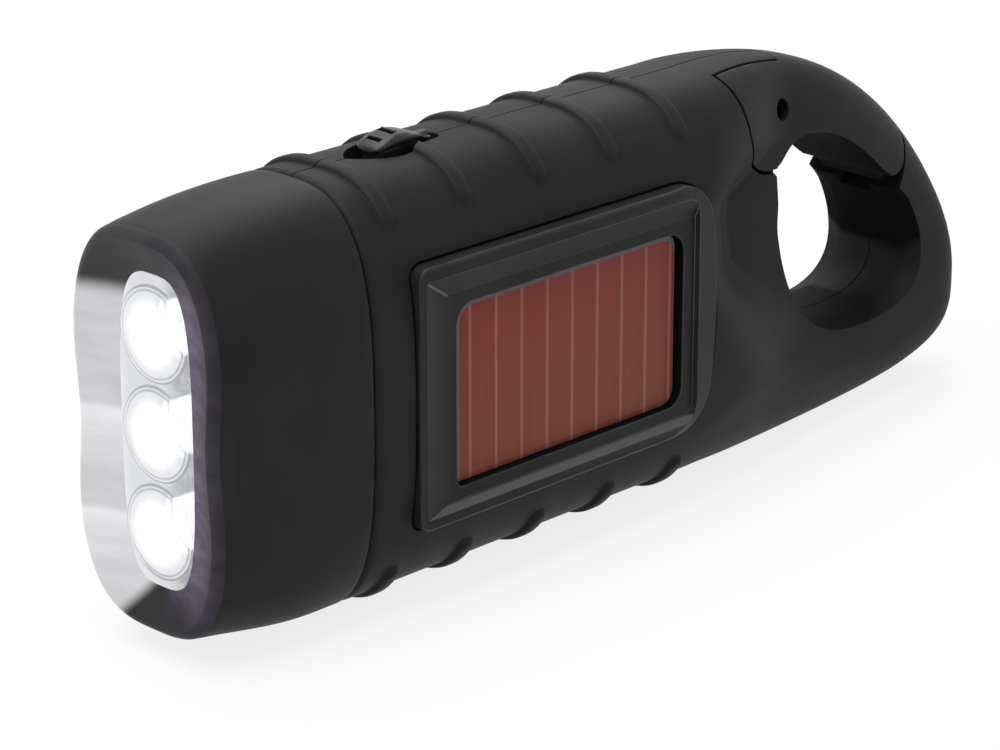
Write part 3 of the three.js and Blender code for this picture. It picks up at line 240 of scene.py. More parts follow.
def block(x0, x1, y0, y1, z0, z1):
    mesh = bmesh.new()
    bmesh.ops.create_cube(mesh, size=1)
    bmesh.ops.scale(mesh, verts=mesh.verts, vec=(x1 - x0, y1 - y0, z1 - z0))
    middle = ((x0 + x1) / 2, (y0 + y1) / 2, (z0 + z1) / 2)
    bmesh.ops.translate(mesh, verts=mesh.verts, vec=middle)
    return keep_object("block", mesh)


print("tools: loft, prism, turned, rod, block")

# %% Cutting and joining
def combine(target, tool, operation):
    change = target.modifiers.new(operation, "BOOLEAN")
    change.operation, change.solver, change.object = operation, "MANIFOLD", tool
    graph = bpy.context.evaluated_depsgraph_get()
    made = bpy.data.meshes.new_from_object(target.evaluated_get(graph))
    target.modifiers.clear()
    if not made.polygons:
        raise ValueError(f"{operation} of {target.name} with {tool.name} left nothing")
    target.data, old = made, target.data
    bpy.data.meshes.remove(old)
    discard(tool)
    return target


def discard(piece):
    data = piece.data
    bpy.data.objects.remove(piece)
    bpy.data.meshes.remove(data)


def cut(target, *tools):
    for tool in tools:
        combine(target, tool, "DIFFERENCE")
    return target


def join(target, *tools):
    for tool in tools:
        combine(target, tool, "UNION")
    return target


def common(target, tool):
    return combine(target, tool, "INTERSECT")


def copy_of(piece):
    twin = piece.copy()
    twin.data = piece.data.copy()
    bpy.context.scene.collection.objects.link(twin)
    return twin


def bevelled_rim(piece, y, offset, segments=4):
    mesh = bmesh.new()
    mesh.from_mesh(piece.data)
    bmesh.ops.remove_doubles(mesh, verts=mesh.verts, dist=1e-4)
    level = [e for e in mesh.edges if all(abs(v.co.y - y) < 1e-3 for v in e.verts)]
    rim = [e for e in level if len(e.link_faces) == 2 and e.calc_face_angle() > 0.8]
    bmesh.ops.bevel(
        mesh, geom=rim, offset=offset, segments=segments, profile=0.5, affect="EDGES", material=-1
    )
    mesh.to_mesh(piece.data)
    mesh.free()
    return piece


print("tools: cut, join, common, copy_of, bevelled_rim")

# %% Handing a finished piece over
finished = []


def deliver(piece, node, material, body, sharp=32):
    mesh = bmesh.new()
    mesh.from_mesh(piece.data)
    bmesh.ops.remove_doubles(mesh, verts=mesh.verts, dist=1e-5)
    bmesh.ops.translate(mesh, verts=mesh.verts, vec=ORIGIN)
    bmesh.ops.scale(mesh, verts=mesh.verts, vec=(MM, MM, MM))
    mesh.to_mesh(piece.data)
    mesh.free()
    piece.name = piece.data.name = "fine_" + node
    piece.data.materials.clear()
    piece.data.materials.append(material)
    piece.data.shade_smooth()
    piece.data.set_sharp_from_angle(angle=math.radians(sharp))
    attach(piece, body)
    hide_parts(node)
    finished.append(piece)
    print(piece.name, len(piece.data.polygons), "faces")
    return piece


# %% [markdown]
# ## Writing a finish as arithmetic
# A material is a small network of nodes. Wrapping a socket in a class lets plain arithmetic build
# the number part of it, so a mask reads as a formula. Everything that isn't arithmetic, such as a
# noise or a bump, comes from one method that takes the node's type, its settings and its inputs.

# %% The shader helper
class Signal:
    def __init__(self, finish, socket):
        self.finish, self.socket = finish, socket

    def math(self, operation, *values):
        return self.finish.node("ShaderNodeMath", {"operation": operation}, dict(enumerate(values)))

    def __add__(self, other):
        return self.math("ADD", self, other)

    def __radd__(self, other):
        return self.math("ADD", other, self)

    def __sub__(self, other):
        return self.math("SUBTRACT", self, other)

    def __rsub__(self, other):
        return self.math("SUBTRACT", other, self)

    def __mul__(self, other):
        return self.math("MULTIPLY", self, other)

    def __rmul__(self, other):
        return self.math("MULTIPLY", other, self)

    def __pow__(self, other):
        return self.math("POWER", self, other)

    def larger(self, other):
        return self.math("MAXIMUM", self, other)

    def smaller(self, other):
        return self.math("MINIMUM", self, other)

    def size(self):
        return self.math("ABSOLUTE", self)

    def ramp(self, low, high, to_low=0.0, to_high=1.0):
        settings = {"interpolation_type": "SMOOTHSTEP", "clamp": True}
        inputs = {"Value": self, "From Min": low, "From Max": high, "To Min": to_low, "To Max": to_high}
        return self.finish.node("ShaderNodeMapRange", settings, inputs)


class Finish:
    def __init__(self, name):
        self.material = bpy.data.materials.new(name)
        self.material.use_nodes = True
        self.tree = self.material.node_tree
        self.tree.nodes.clear()
        self.output = self.tree.nodes.new("ShaderNodeOutputMaterial")

    def node(self, kind, settings=None, inputs=None, output=0):
        made = self.tree.nodes.new(kind)
        for key, value in (settings or {}).items():
            setattr(made, key, value)
        for key, value in (inputs or {}).items():
            if isinstance(value, Signal):
                self.tree.links.new(value.socket, made.inputs[key])
            else:
                made.inputs[key].default_value = value
        return Signal(self, made.outputs[output])

    def place(self):
        return self.node("ShaderNodeTexCoord", output="Object")

    def split(self, vector):
        parts = self.node("ShaderNodeSeparateXYZ", inputs={0: vector}).socket.node
        return [Signal(self, parts.outputs[i]) for i in range(3)]

    def axes(self):
        return self.split(self.place())

    def noise(self, scale, detail=3.0, roughness=0.55, stretch=None):
        place = self.place()
        if stretch:
            place = self.node("ShaderNodeMapping", {"vector_type": "POINT"}, {0: place, "Scale": stretch})
        inputs = {"Vector": place, "Scale": scale, "Detail": detail, "Roughness": roughness}
        return self.node("ShaderNodeTexNoise", inputs=inputs)

    def blend(self, factor, low, high):
        settings = {"data_type": "RGBA", "clamp_factor": True}
        return self.node("ShaderNodeMix", settings, {0: factor, 6: low, 7: high}, output=2)

    def bump(self, height, strength, distance, normal=None):
        inputs = {"Height": height, "Strength": strength, "Distance": distance}
        if normal:
            inputs["Normal"] = normal
        return self.node("ShaderNodeBump", inputs=inputs)

    def surface(self, **sockets):
        names = {key.replace("_", " ").title().replace("Ior", "IOR"): v for key, v in sockets.items()}
        shader = self.node("ShaderNodeBsdfPrincipled", inputs=names)
        self.tree.links.new(shader.socket, self.output.inputs["Surface"])
        return self.material


def grey(value, green=0.0):
    return (value, value + green, value, 1.0)


print("helper ready")

# %% [markdown]
# ## Moulded black plastic
# The grip, head and loop are the same matt plastic, moulded in a fine grained tool. Up close it
# has a grain of a few tenths of a millimetre, its gloss changes where hands rub it, and its outer
# edges are a little paler and smoother: the pale is partly wear and partly a painted highlight. The
# rounded edge comes from the Bevel node: it bends the normal near an edge, which costs no faces,
# and its difference from the true normal places the pale wear and painted highlight.

# %% Moulded plastics
BLACK, SHADOW, PAINTED_HIGHLIGHT_GREY = (0, 0, 0, 1), (0.0008, 0.0008, 0.0008, 1), (0.098, 0.1, 0.094, 1)
GRIT_DEPTH = 0.00004


def moulded(
    name, color, roughness, grain=0.16, round_edge=0.22, gloss=0.11, edge_wear_and_highlight=2.1, fine=0.02,
    glow=None, shade=None, painted_highlight=None,
):
    f = Finish(name)
    soft = f.node("ShaderNodeBevel", {"samples": 4}, {"Radius": round_edge * MM})
    true = f.node("ShaderNodeNewGeometry", output="True Normal")
    turn = f.node("ShaderNodeVectorMath", {"operation": "DOT_PRODUCT"}, {0: soft, 1: true}, output="Value")
    edge = (1 - turn).ramp(fine, 15 * fine)
    cloud = f.noise(70, 3, 0.6)
    grit = f.noise(2300, 2, 0.5)
    rub = f.noise(26, 4, 0.62)
    # The pale edge colour stands for wear and for a painted highlight line along the edges.
    pale = tuple(min(1.0, edge_wear_and_highlight * c + 0.006) for c in color[:3]) + (1.0,)
    dusty = tuple(1.28 * c + 0.001 for c in color[:3]) + (1.0,)
    base = f.blend(cloud.ramp(0.35, 0.7), color, dusty)
    wear_and_painted_light = f.blend(edge * rub.ramp(0.35, 0.65, 0.25, 0.8), base, pale)
    matt = rub.ramp(0.3, 0.7, roughness - 0.05, roughness + 0.05) - edge * 0.06
    if shade:
        dark = shade(f)
        wear_and_painted_light, matt = f.blend(dark, wear_and_painted_light, SHADOW), matt.larger(dark)
    # Painted highlight: the mask blends the colour to a pale grey, on the frame's lower slope and mitre.
    if painted_highlight:
        wear_and_painted_light = f.blend(painted_highlight(f), wear_and_painted_light, PAINTED_HIGHLIGHT_GREY)
    normal = f.bump(grit, grain, GRIT_DEPTH, soft)
    # A glow is painted light: emission on a part that is no lamp, here the LEDs' light on the dish.
    extra = {"emission_color": glow(f), "emission_strength": 1.0} if glow else {}
    return f.surface(base_color=wear_and_painted_light, roughness=matt, normal=normal, specular_ior_level=gloss, **extra)


print("finish of moulded plastic ready")

# %% [markdown]
# Some light and shade is painted into the colour at places on the lamp: the LEDs' light painted
# on the dish round the lens, painted shade on the walls of the loop's opening and the cell's window,
# and a painted highlight on the frame's lower slope and mitre. Each is a mask made from where a
# point lies, in millimetres, and where its face looks, so it stays in its place from every side.

# %% Masks by place
def millimetres(f):
    return [(value - start) * (1 / MM) for value, start in zip(f.axes(), placed(0, 0, 0))]


def facing(f):
    return f.split(f.node("ShaderNodeNewGeometry", output="True Normal"))


# Painted light: the LEDs' light on the dish round the lens, as emission, white on the far side and lilac on
# the near side.
def painted_dish_glow(f):
    x, y, z = millimetres(f)
    ahead = facing(f)[0].ramp(0.1, 0.35)
    inward = (y.size() * (1 / 6.2)) ** 3.2 + (z.size() * (1 / 18.6)) ** 3.2
    on_dish = ahead.larger(inward.ramp(1.12, 1.05)) * x.ramp(49.6, 49.8) * inward.ramp(0.6, 0.8)
    fall = (14.6 - z) * (1 / 12.4)
    fallen = fall.math("FRACT", fall)
    level = (1 - fallen) * (1 - fallen) * fallen.ramp(0, 0.1) * z.ramp(2.5, 3.5, 0.27, 0) + 0.6
    top = z.ramp(14.2, 16.8, 1, 0.05)
    bottom = (z + 18.5 - (y + 1.85) * 1.17).ramp(-1.3, 1.9, 0.02, 1)
    streak = f.noise(500, 3, 0.6, stretch=(0.2, 0.2, 1)).ramp(0.3, 0.7, 0.93, 1.03)
    far = f.blend(level * top * bottom * streak, BLACK, (0.985, 0.975, 1.0, 1))
    rays = f.noise(600, 3, 0.7, stretch=(0.3, 0.3, 1)).ramp(0.35, 0.65, 0.65, 1.1)
    near_level = y.ramp(5.5, 12, 0.15, 0.02) * z.size().ramp(14, 21, 1, 0.15) * rays
    near = f.blend(near_level, BLACK, (0.82, 0.64, 1.0, 1))
    return f.blend(on_dish, BLACK, f.blend(y.ramp(0, 3), far, near))


def opening_shade(f):
    x, y, z = millimetres(f)
    _, ny, nz = facing(f)
    within = ((x + 58.2) * (1 / 15.5)) ** 2 + ((z - 0.8) * (1 / 15.0)) ** 2
    wall = ny.size().ramp(0.35, 0.75, 1, 0) * within.ramp(0.95, 1.1, 1, 0)
    return wall * nz.ramp(0.2, 1.0, 0.95, 0.75)


def window_shade(f):
    x, y, z = millimetres(f)
    over_x, over_z = (x + 1.07).size() - 19.2, (z + 0.97).size() - 11.1
    return over_x.larger(over_z).ramp(0.0, 0.15, 1, 0) * y.ramp(12.9, 13.2, 1, 0)


MITRE_X, MITRE_Z, MITRE_RUN, MITRE_RISE = 21.25, 12.63, 0.843, 0.538


# Painted highlight: a pale band on the frame's lower slope, facing up, and a pale line along its top front
# mitre.
def frame_painted_highlight(f):
    x, y, z = millimetres(f)
    low_slope = z.ramp(-13.4, -13.6) * facing(f)[2].ramp(0.3, 0.5) * y.ramp(13.3, 13.4)
    right, up = x - MITRE_X, z - MITRE_Z
    along = (right * MITRE_RUN + up * MITRE_RISE).size()
    across = (right * MITRE_RISE - up * MITRE_RUN).size()
    mitre = across.ramp(0.07, 0.22, 1, 0) * along.ramp(1.9, 2.3, 1, 0) * y.ramp(13.2, 13.3)
    return low_slope.larger(mitre)


print("masks: painted_dish_glow, opening_shade, window_shade, frame_painted_highlight")

# %% The black plastics
shell_black = moulded("shell_black", grey(0.0105), 0.54, shade=opening_shade)
head_black = moulded("head_black", grey(0.0100), 0.5, glow=painted_dish_glow)
# The frame's edges are much paler than the grip's: painted highlight lines along its crests and window,
# besides a little wear.
frame_black = moulded(
    "frame_black", grey(0.0120, green=0.0008), 0.38, grain=0.1, round_edge=0.16, edge_wear_and_highlight=14, fine=0.0025,
    shade=window_shade, painted_highlight=frame_painted_highlight,
)
gate_black = moulded("gate_black", grey(0.0110), 0.5, grain=0.12, shade=opening_shade)
crank_black = moulded("crank_black", grey(0.0110), 0.46)
# The slider's edges are paler too: painted highlight lines, besides a little wear.
switch_black = moulded("switch_black", grey(0.0125), 0.33, grain=0.08, round_edge=0.18, gloss=0.3, edge_wear_and_highlight=6)
rubber_black = moulded("rubber_black", grey(0.0060), 0.8, grain=0.3, gloss=0.1)
print("plastics:", [m.name for m in bpy.data.materials][-7:])

# %% [markdown]
# ## The grip and its loop
# The grip's section is a rounded form between a top line and a bottom line, and it thins towards
# the loop. Rings of points follow those lines, and the ribs are part of the rings: a point that
# lies on a rib is pushed out by the rib's height. That gives each rib a soft foot, as a mould
# leaves it, which a separate hoop joined on top would not have.

# %% The grip's measures
FRONT_X, HALF_HEIGHT, HALF_WIDTH, CROWN, WALL = 30.4, 25.15, 13.5, 3.0, 1.9
FACE_FRONT, FACE_REAR, CREASE_X, CREASE_Z, THINNING = 8.3, 7.8, -33.5, 8.5, 10.0
LOOP_END = 7.0
REAR_X, REAR_Z = -83.3, -12.0
FIT, SEAM = 0.3, 0.17
RIB_FIRST, RIB_PITCH, RIB_COUNT, RIB_HALF, RIB_HEIGHT, RIB_DROP = 25.6, 12.04, 5, 1.17, 0.6, 4.0
TOP_LINE = curve((-32, 25.15), (-66, 27.15), (-80.3, 5), (REAR_X, REAR_Z), steps=400)
BOTTOM_LINE = curve((-30, -25.15), (-74, -26.55), (REAR_X, -24.5), (REAR_X, REAR_Z), steps=400)


def smooth(value, low, high):
    share = min(max((value - low) / (high - low), 0.0), 1.0)
    return share * share * (3 - 2 * share)


def height_on(line, x):
    if x >= line[0][0]:
        return line[0][1]
    i = min(max(bisect.bisect_left(line, -x, key=lambda p: -p[0]), 1), len(line) - 1)
    (x0, z0), (x1, z1) = line[i - 1], line[i]
    share = (x - x0) / (x1 - x0) if x1 != x0 else 1.0
    return z0 + (z1 - z0) * share


def half_width_at(x, z):
    bend = 0.0175 if z < CREASE_Z else 0.03
    crease = max(CREASE_X - bend * (z - CREASE_Z) ** 2, -43.0)
    crisp = smooth(z, -9, 3) * (1 - smooth(z, 9.5, 16.5))
    low = smooth(-z, 11.5, 19)
    start = crease + THINNING + (-24 - crease - THINNING) * low
    share = min(max((start - x) / (THINNING + 11 * (1 - crisp) + 24 * low), 0.0), 1.0)
    face = FACE_FRONT + (FACE_REAR - FACE_FRONT) * smooth(-x, 33, 47)
    drop = crisp * (1 - (1 - share**2) ** 1.5) + (1 - crisp) * share**2 * (3 - 2 * share)
    width = HALF_WIDTH + (face - HALF_WIDTH) * drop
    end = min(max((REAR_X + LOOP_END - x) / LOOP_END, 0.0), 1.0)
    return width * (1 - end**3) ** (1 / 3)


def rib_lift(x, z):
    over = HALF_HEIGHT - RIB_DROP - abs(z)
    lift = 0.0
    for i in range(RIB_COUNT):
        across = abs(x - (RIB_FIRST - i * RIB_PITCH))
        reach = (math.hypot(across, over) if over > 0 else across) / RIB_HALF
        if reach < 1:
            lift = RIB_HEIGHT * (1 - reach**5) ** 0.7
    return lift


def body_ring(x, grow=0.0, count=360, ribs=False):
    top, bottom = height_on(TOP_LINE, x), height_on(BOTTOM_LINE, x)
    half_height, middle = (top - bottom) / 2 + grow, (top + bottom) / 2
    points = ring(x, 1.0, half_height, middle, CROWN, count)
    for p in points:
        half_width = half_width_at(x, p.z) + grow
        lift = rib_lift(x, p.z) if ribs else 0.0
        p.y *= half_width + lift
        p.z = middle + (p.z - middle) * (half_height + lift) / half_height
    return points


def side_at(x, z):
    top, bottom = height_on(TOP_LINE, x), height_on(BOTTOM_LINE, x)
    high = min(abs((z - (top + bottom) / 2) / ((top - bottom) / 2)), 0.999)
    return half_width_at(x, z) * (1 - high**CROWN) ** (1 / CROWN)


print("the grip is", 2 * half_width_at(0, 0), "mm thick and the loop", round(2 * half_width_at(-60, 0), 2))

# %% The grip's skin
RIB_SHARES = (1.15, 1.02, 0.996, 0.97, 0.92, 0.85, 0.73, 0.46, 0.15)
rib_steps = [side * share * RIB_HALF for share in RIB_SHARES for side in (-1, 1)]
rib_stations = [RIB_FIRST - i * RIB_PITCH + s for i in range(RIB_COUNT) for s in rib_steps]
rear_stations = [REAR_X + s for s in (0.03, 0.12, 0.3, 0.6, 1, 1.5, 2.1, 2.8, 3.6, 4.5, 5.5, 6.7)]
plain_stations = [REAR_X + 8 + 1.25 * i for i in range(25)] + [-43.6 + 0.55 * i for i in range(40)]
plain_stations += [-20, -18, -16, -8.5, -6.5, -4.5, -2.5, 4.5, 7, 9.5, 16, 18.5, 21, 28.5]
plain_stations = [x for x in plain_stations if all(abs(x - r) >= 0.25 for r in rib_stations)]
stations = rear_stations + rib_stations + plain_stations
skin_rings = [body_ring(x, ribs=True) for x in sorted(s for s in stations if s < FRONT_X - 0.7)]
for inset, x in ((0.0, 29.55), (0.04, 29.8), (0.14, 30.05), (0.3, 30.25), (0.5, 30.4)):
    skin_rings.append(body_ring(x, -inset))
outside = loft(skin_rings, "outside")
mid_stations = [-80.3, -78, -75, -70, -64, -57, -50, -46, -43]
mid_stations += [-41 + 2 * i for i in range(9)] + [-22, 0, FRONT_X]
mid_wall = loft([body_ring(x, -WALL / 2, 96) for x in mid_stations], "mid_wall")
print("skin:", len(outside.data.polygons), "faces from", len(skin_rings), "rings")

# %% [markdown]
# ## The opening of the loop
# A finger or a belt goes through the loop, so its edges are rounded by about a millimetre and its
# walls have the draft of a mould. A plain cut would leave them sharp and straight. Here the cutter
# itself is flared: its outline widens towards the skin in steps, and follows the skin's height. The
# same cutter trims the loop and the gate, so that the rounding runs on from one to the other.

# %% The flared opening
GATE_X, GATE_Z, GATE_REACH, GATE_GAP, GATE_FRONT = -45.5, 18.35, 26.7, 0.45, -34.2
FLARE = [(0, 3.2), (0.22, 2.4), (0.5, 1.5), (0.74, 0.75), (0.9, 0.28), (0.97, 0.08), (0.97, -2.0)]


def on_pivot(radius, angle):
    turn = math.radians(angle)
    return (GATE_X + radius * math.cos(turn), GATE_Z + radius * math.sin(turn))


def cubic_of(start, handle, end):
    lead = [start[i] + 2 / 3 * (handle[i] - start[i]) for i in (0, 1)]
    follow = [end[i] + 2 / 3 * (handle[i] - end[i]) for i in (0, 1)]
    return [tuple(start), tuple(lead), tuple(follow), tuple(end)]


nose_under = curve(*cubic_of((-64.3, 6.8), (-67, 4.2), on_pivot(GATE_REACH, -153.5)), steps=21)
gate_under = curve(
    (-43.83, 11.36), (-45, 11.3), (-46, 13.8), (-49, 14.1), (-54, 14.5), (-59.5, 11.5), (-64.3, 6.8),
    steps=22,
)
loop_edge = curve(
    (-43.8, 12), (-44, 1), (-47, -12.3), (-60, -12.4), (-68.5, -12.5), (-72.6, -10.5), (-72, -5.5),
    (-71.6, -1.5), (-68.5, 2.5), (-66, 5.8), steps=22,
)
opening_outline = [p for p in loop_edge if p[1] < 11.2 or p[0] < -50][:-1]
opening_outline += list(reversed(gate_under + nose_under[1:7]))


def evened(points, pitch):
    ends = points + points[:1]
    runs = [math.dist(a, b) for a, b in zip(ends, ends[1:])]
    count = round(sum(runs) / pitch)
    out, i, done = [], 0, 0.0
    for k in range(count):
        goal = sum(runs) * k / count
        while done + runs[i] < goal:
            done += runs[i]
            i += 1
        share = (goal - done) / runs[i] if runs[i] else 0.0
        out.append(tuple(a + (b - a) * share for a, b in zip(ends[i], ends[i + 1])))
    return out


def edge_radius(x, z):
    from_gate = min(math.dist((x, z), (-67, 5.2)), math.dist((x, z), (-43.8, 11.5)))
    return 0.3 + 0.65 * smooth(from_gate, 0.5, 5.5) * smooth(-z, -7.5, -3.0)


def flared_cutter(outline):
    before, after = outline[-1:] + outline[:-1], outline[1:] + outline[:1]
    normals = [Vector((b[1] - a[1], a[0] - b[0])).normalized() for a, b in zip(before, after)]
    area = sum(a[0] * b[1] - b[0] * a[1] for a, b in zip(outline, after))
    sign = 1 if area > 0 else -1
    radii = [edge_radius(x, z) for x, z in outline]
    rings = []
    for side in (-1, 1):
        for out, depth in reversed(FLARE) if side < 0 else FLARE:
            points = []
            for p, n, radius in zip(outline, normals, radii):
                x, z = p[0] + sign * out * radius * n.x, p[1] + sign * out * radius * n.y
                points.append(Vector((x, side * (side_at(x, z) - depth * (radius if depth > 0 else 1)), z)))
            rings.append(points)
    return loft(rings, "opening")


opening_points = evened(opening_outline, 0.55)
opening = flared_cutter(opening_points)
print("opening:", len(opening_points), "points round it")

# %% [markdown]
# ## The gate and its tongue
# The gate is a piece of the same loop, cut free along a stepped line, so it is made from the
# grip's own skin: the part of the skin that lies inside the gate's outline. Its two cheeks
# straddle a tongue of the grip and turn on a pin. The pocket in the grip is the same outline with
# the running gap added.

# %% Outlines of the gate and the tongue
def gate_outline(gap=0.0, above=33.15):
    points = [(GATE_FRONT + gap, above), (GATE_FRONT + gap, HALF_HEIGHT - 0.4)]
    heel = [(GATE_FRONT - 1.2 + gap, 20.5), (-36.6 + gap, 17.5), (-37.6 + gap, 11.1 - gap), (-43, 11.4 - gap)]
    points += curve(*heel)
    if gap:
        points += [(-45, 9), (-60, 0)] + arc((GATE_X, GATE_Z), GATE_REACH + gap, -146, -175)
    else:
        points += [(-43.8, 11.37), (-43.8, 9), (-60, 3), nose_under[5]] + nose_under[6:]
        points += arc((GATE_X, GATE_Z), GATE_REACH, -153.5, -175)[1:]
    return points + [(GATE_X - GATE_REACH - 4, above)]


TONGUE_FRONT, TONGUE_REAR, TONGUE_X, KNUCKLE, TONGUE_GAP = 5.0, 3.0, -48.2, 5.0, 0.4


def tongue_outline(gap=0.0, above=33.15):
    rear = math.degrees(math.acos((TONGUE_X - GATE_X) / KNUCKLE))
    low = 255 if gap else 285
    turn = arc((GATE_X, GATE_Z), KNUCKLE + gap, rear, low, 24)
    foot = on_pivot(KNUCKLE + gap, low)[0] if gap else -43.85
    return [(GATE_FRONT + 4, above), (TONGUE_X - gap, above), *turn, (foot, 10.6), (GATE_FRONT + 4, 9)]


def tongue_blank(gap=0.0):
    front, rear = TONGUE_FRONT + gap, TONGUE_REAR + gap
    far_x = GATE_X - KNUCKLE - gap - 1
    half = [(GATE_FRONT + 4, front), (GATE_FRONT, front), (TONGUE_X, rear), (far_x, rear)]
    plan = half + [(x, -y) for x, y in reversed(half)]
    side = prism(tongue_outline(gap), "Y", -12, 12)
    return common(side, prism(plan, "Z", GATE_Z - 12, HALF_HEIGHT + 9))


def catch_wedge(low, high, start, end, half_width):
    outline = arc((GATE_X, GATE_Z), high, start, end, 6) + arc((GATE_X, GATE_Z), low, end, start, 6)
    return prism(outline, "Y", -half_width, half_width)


print("gate outline:", len(gate_outline()), "points")

# %% The gate
gate = common(copy_of(outside), prism(gate_outline(), "Y", -20, 20))
tip = GATE_REACH + 1.5
join(gate, catch_wedge(GATE_REACH - 2, tip, -150.8, -155.5, 1.1))
join(gate, catch_wedge(tip - 0.7, tip, -150.8, -155.5, 2.2))
cut(gate, tongue_blank(TONGUE_GAP), copy_of(opening))
lip = arc((GATE_X, GATE_Z), GATE_REACH, -158, -147.4, 10)
lip += [(-66.9, 5.1), (-65.6, 6.3), (-64.3, 7.1), (-62.5, 9)]
join(gate, prism(lip, "Y", -5.0, 5.0))
cut(gate, rod(1.4, "Y", -20, 20, (GATE_X, 0, GATE_Z)))
cut(gate, block(GATE_X - 7.9, GATE_X, -1.1, 1.1, GATE_Z + 1.6, GATE_Z + 3))
seam_line = [(x, z + 0.18) for x, z in gate_under[4:] + nose_under[1:4]] + [(-62, 2), (-50, 6)]
cut(gate, prism(seam_line, "Y", -0.09, 0.09))
deliver(gate, "gate", gate_black, "gate")

# %% The gate's pin
pin_half = half_width_at(GATE_X, GATE_Z) - 2.9
gate_pin = both_ends([(0, pin_half), (0.75, pin_half), (1.1, pin_half - 0.3)])
print("pin:", round(2 * pin_half, 2), "mm long")

# %% [markdown]
# ## The two half shells
# Both shells come from one hollow grip: the skin, less the cavity, with its neck, posts and floor,
# is cut along the seam. Working on the whole first means that each hole is cut once and matches
# on both sides.

# %% Neck and cavity
NECK_LENGTH, NECK_WALL, NECK_ROOT, HEAD_WALL = 4.6, 1.6, 2.5, 1.8
HEAD_FRONT, HEAD_HALF_HEIGHT, HEAD_HALF_WIDTH, HEAD_CROWN, SWELL = 51.5, 23.5, 12.5, 3.1, 0.5


def inside_head(grip_half, head_half):
    share = NECK_LENGTH / (HEAD_FRONT - FRONT_X)
    head_there = grip_half + (head_half - grip_half) * share + SWELL * math.sin(math.pi * share)
    return min(grip_half, head_there) - HEAD_WALL - FIT


JOINT_HALF_WIDTH = inside_head(HALF_WIDTH, HEAD_HALF_WIDTH)
JOINT_HALF_HEIGHT = inside_head(HALF_HEIGHT, HEAD_HALF_HEIGHT)


def neck_length(x0, x1, inset):
    ends = [ring(x, JOINT_HALF_WIDTH - inset, JOINT_HALF_HEIGHT - inset, 0, CROWN, 96) for x in (x0, x1)]
    return loft(ends)


def neck_band(outer_inset, inner_inset, half_width):
    x = FRONT_X + 2.6
    outer = neck_length(x - half_width, x + half_width, outer_inset)
    return cut(outer, neck_length(x - half_width - 1, x + half_width + 1, inner_inset))


neck = cut(neck_length(FRONT_X - 0.5, FRONT_X + NECK_LENGTH, 0), neck_band(-1, 0.9, 0.7))
neck = join(neck, loft([body_ring(FRONT_X - NECK_ROOT, -1, 96), body_ring(FRONT_X, -1, 96)]))
grip = join(copy_of(outside), neck)
cavity_stations = [-31, -28, -25, -22, -20, FRONT_X - NECK_ROOT]
cut(grip, loft([body_ring(x, -WALL, 96) for x in cavity_stations]))
cut(grip, neck_length(FRONT_X - NECK_ROOT - 1, FRONT_X + NECK_LENGTH + 1, NECK_WALL))
print("hollow grip:", len(grip.data.polygons), "faces")

# %% Loop, tongue and catch
cut(grip, copy_of(opening))
cut(grip, prism(gate_outline(GATE_GAP), "Y", -30, 30))
tongue = cut(
    common(copy_of(outside), tongue_blank()),
    rod(1.4, "Y", -20, 20, (GATE_X, 0, GATE_Z)),
    rod(3.2, "Y", -2.4, 2.4, (GATE_X, 0, GATE_Z)),
    block(GATE_X - 12, GATE_X, -1.1, 1.1, GATE_Z - 1, GATE_Z + 3.3),
)
join(grip, tongue)
notch_end = tip + 0.5
cut(grip, catch_wedge(GATE_REACH - 1, notch_end, -138, -156.5, 1.6))
cut(grip, catch_wedge(tip - 1.2, notch_end, -138, -156.5, 2.7))
discard(opening)
print("loop open, tongue in place")

# %% Posts, ledges and screw holes
screw_spots = [(26.2, 16, -8.5, 7), (26.2, -16, -8.5, 7), (-28.5, 15, -7.5, 6)]
screw_spots += [(-28.5, -15, -7.5, 6), (-75, -15.5, -3.2, 4.5)]
for x, z, floor_y, tip_y in screw_spots:
    join(grip, common(rod(3.2, "Y", -14, 14, (x, 0, z), 40), copy_of(mid_wall)))
for x, z, floor_y, tip_y in screw_spots:
    cut(grip, rod(2.9, "Y", -20, floor_y, (x, 0, z), 40))
    cut(grip, rod(1.5, "Y", floor_y - 1, tip_y + FIT, (x, 0, z), 24))
recess_floor = HALF_HEIGHT - 2.1
case_top = recess_floor - 1.3
board_top = case_top - 3.3
board_low = board_top - 1.2
for side in (-1, 1):
    for x in (7, 20):
        near, far = sorted((side * 6, side * 14.5))
        ledge = block(x, x + 2, near, far, board_low - 1.7, board_low - 0.3)
        join(grip, common(ledge, copy_of(mid_wall)))
print("screw posts:", len(screw_spots))

# %% [markdown]
# ## The switch well
# The slider runs in a boat-shaped well: wide and pointed towards the head, narrow and round at the
# back. Its outline is drawn from above and pushed down to the well's floor.

# %% The switch well
SLIDER_X = 15.1
switch_floor = prism(ellipse((SLIDER_X, 0), (7.8, 5.0)), "Z", recess_floor - 1, HALF_HEIGHT)
join(grip, common(switch_floor, copy_of(mid_wall)))
well = curve(
    (22.3, 0), (20.9, 2.1), (18.8, 3.4), (16.2, 3.4), (13.8, 3.4), (12.8, 1.7), (11.2, 1.5),
    (10.4, 1.4), (9.8, 1.35), (9.2, 1.3), (8.4, 1.25), (8.0, 0.7), (8.0, 0), steps=12,
)
well_plan = well + [(x, -y) for x, y in reversed(well[1:-1])]
cut(grip, prism(well_plan, "Z", recess_floor, HALF_HEIGHT + 3))
slider_rear = SLIDER_X - 6.4 + 0.9
stem_low, stem_high = slider_rear + 4.3 - 1.4, slider_rear + 4.3 + 1.4
cut(grip, block(stem_low - FIT, stem_high + 2.6 + FIT, -1.2, 1.2, recess_floor - 4, recess_floor + 1))
print("well floor at", round(recess_floor, 2))

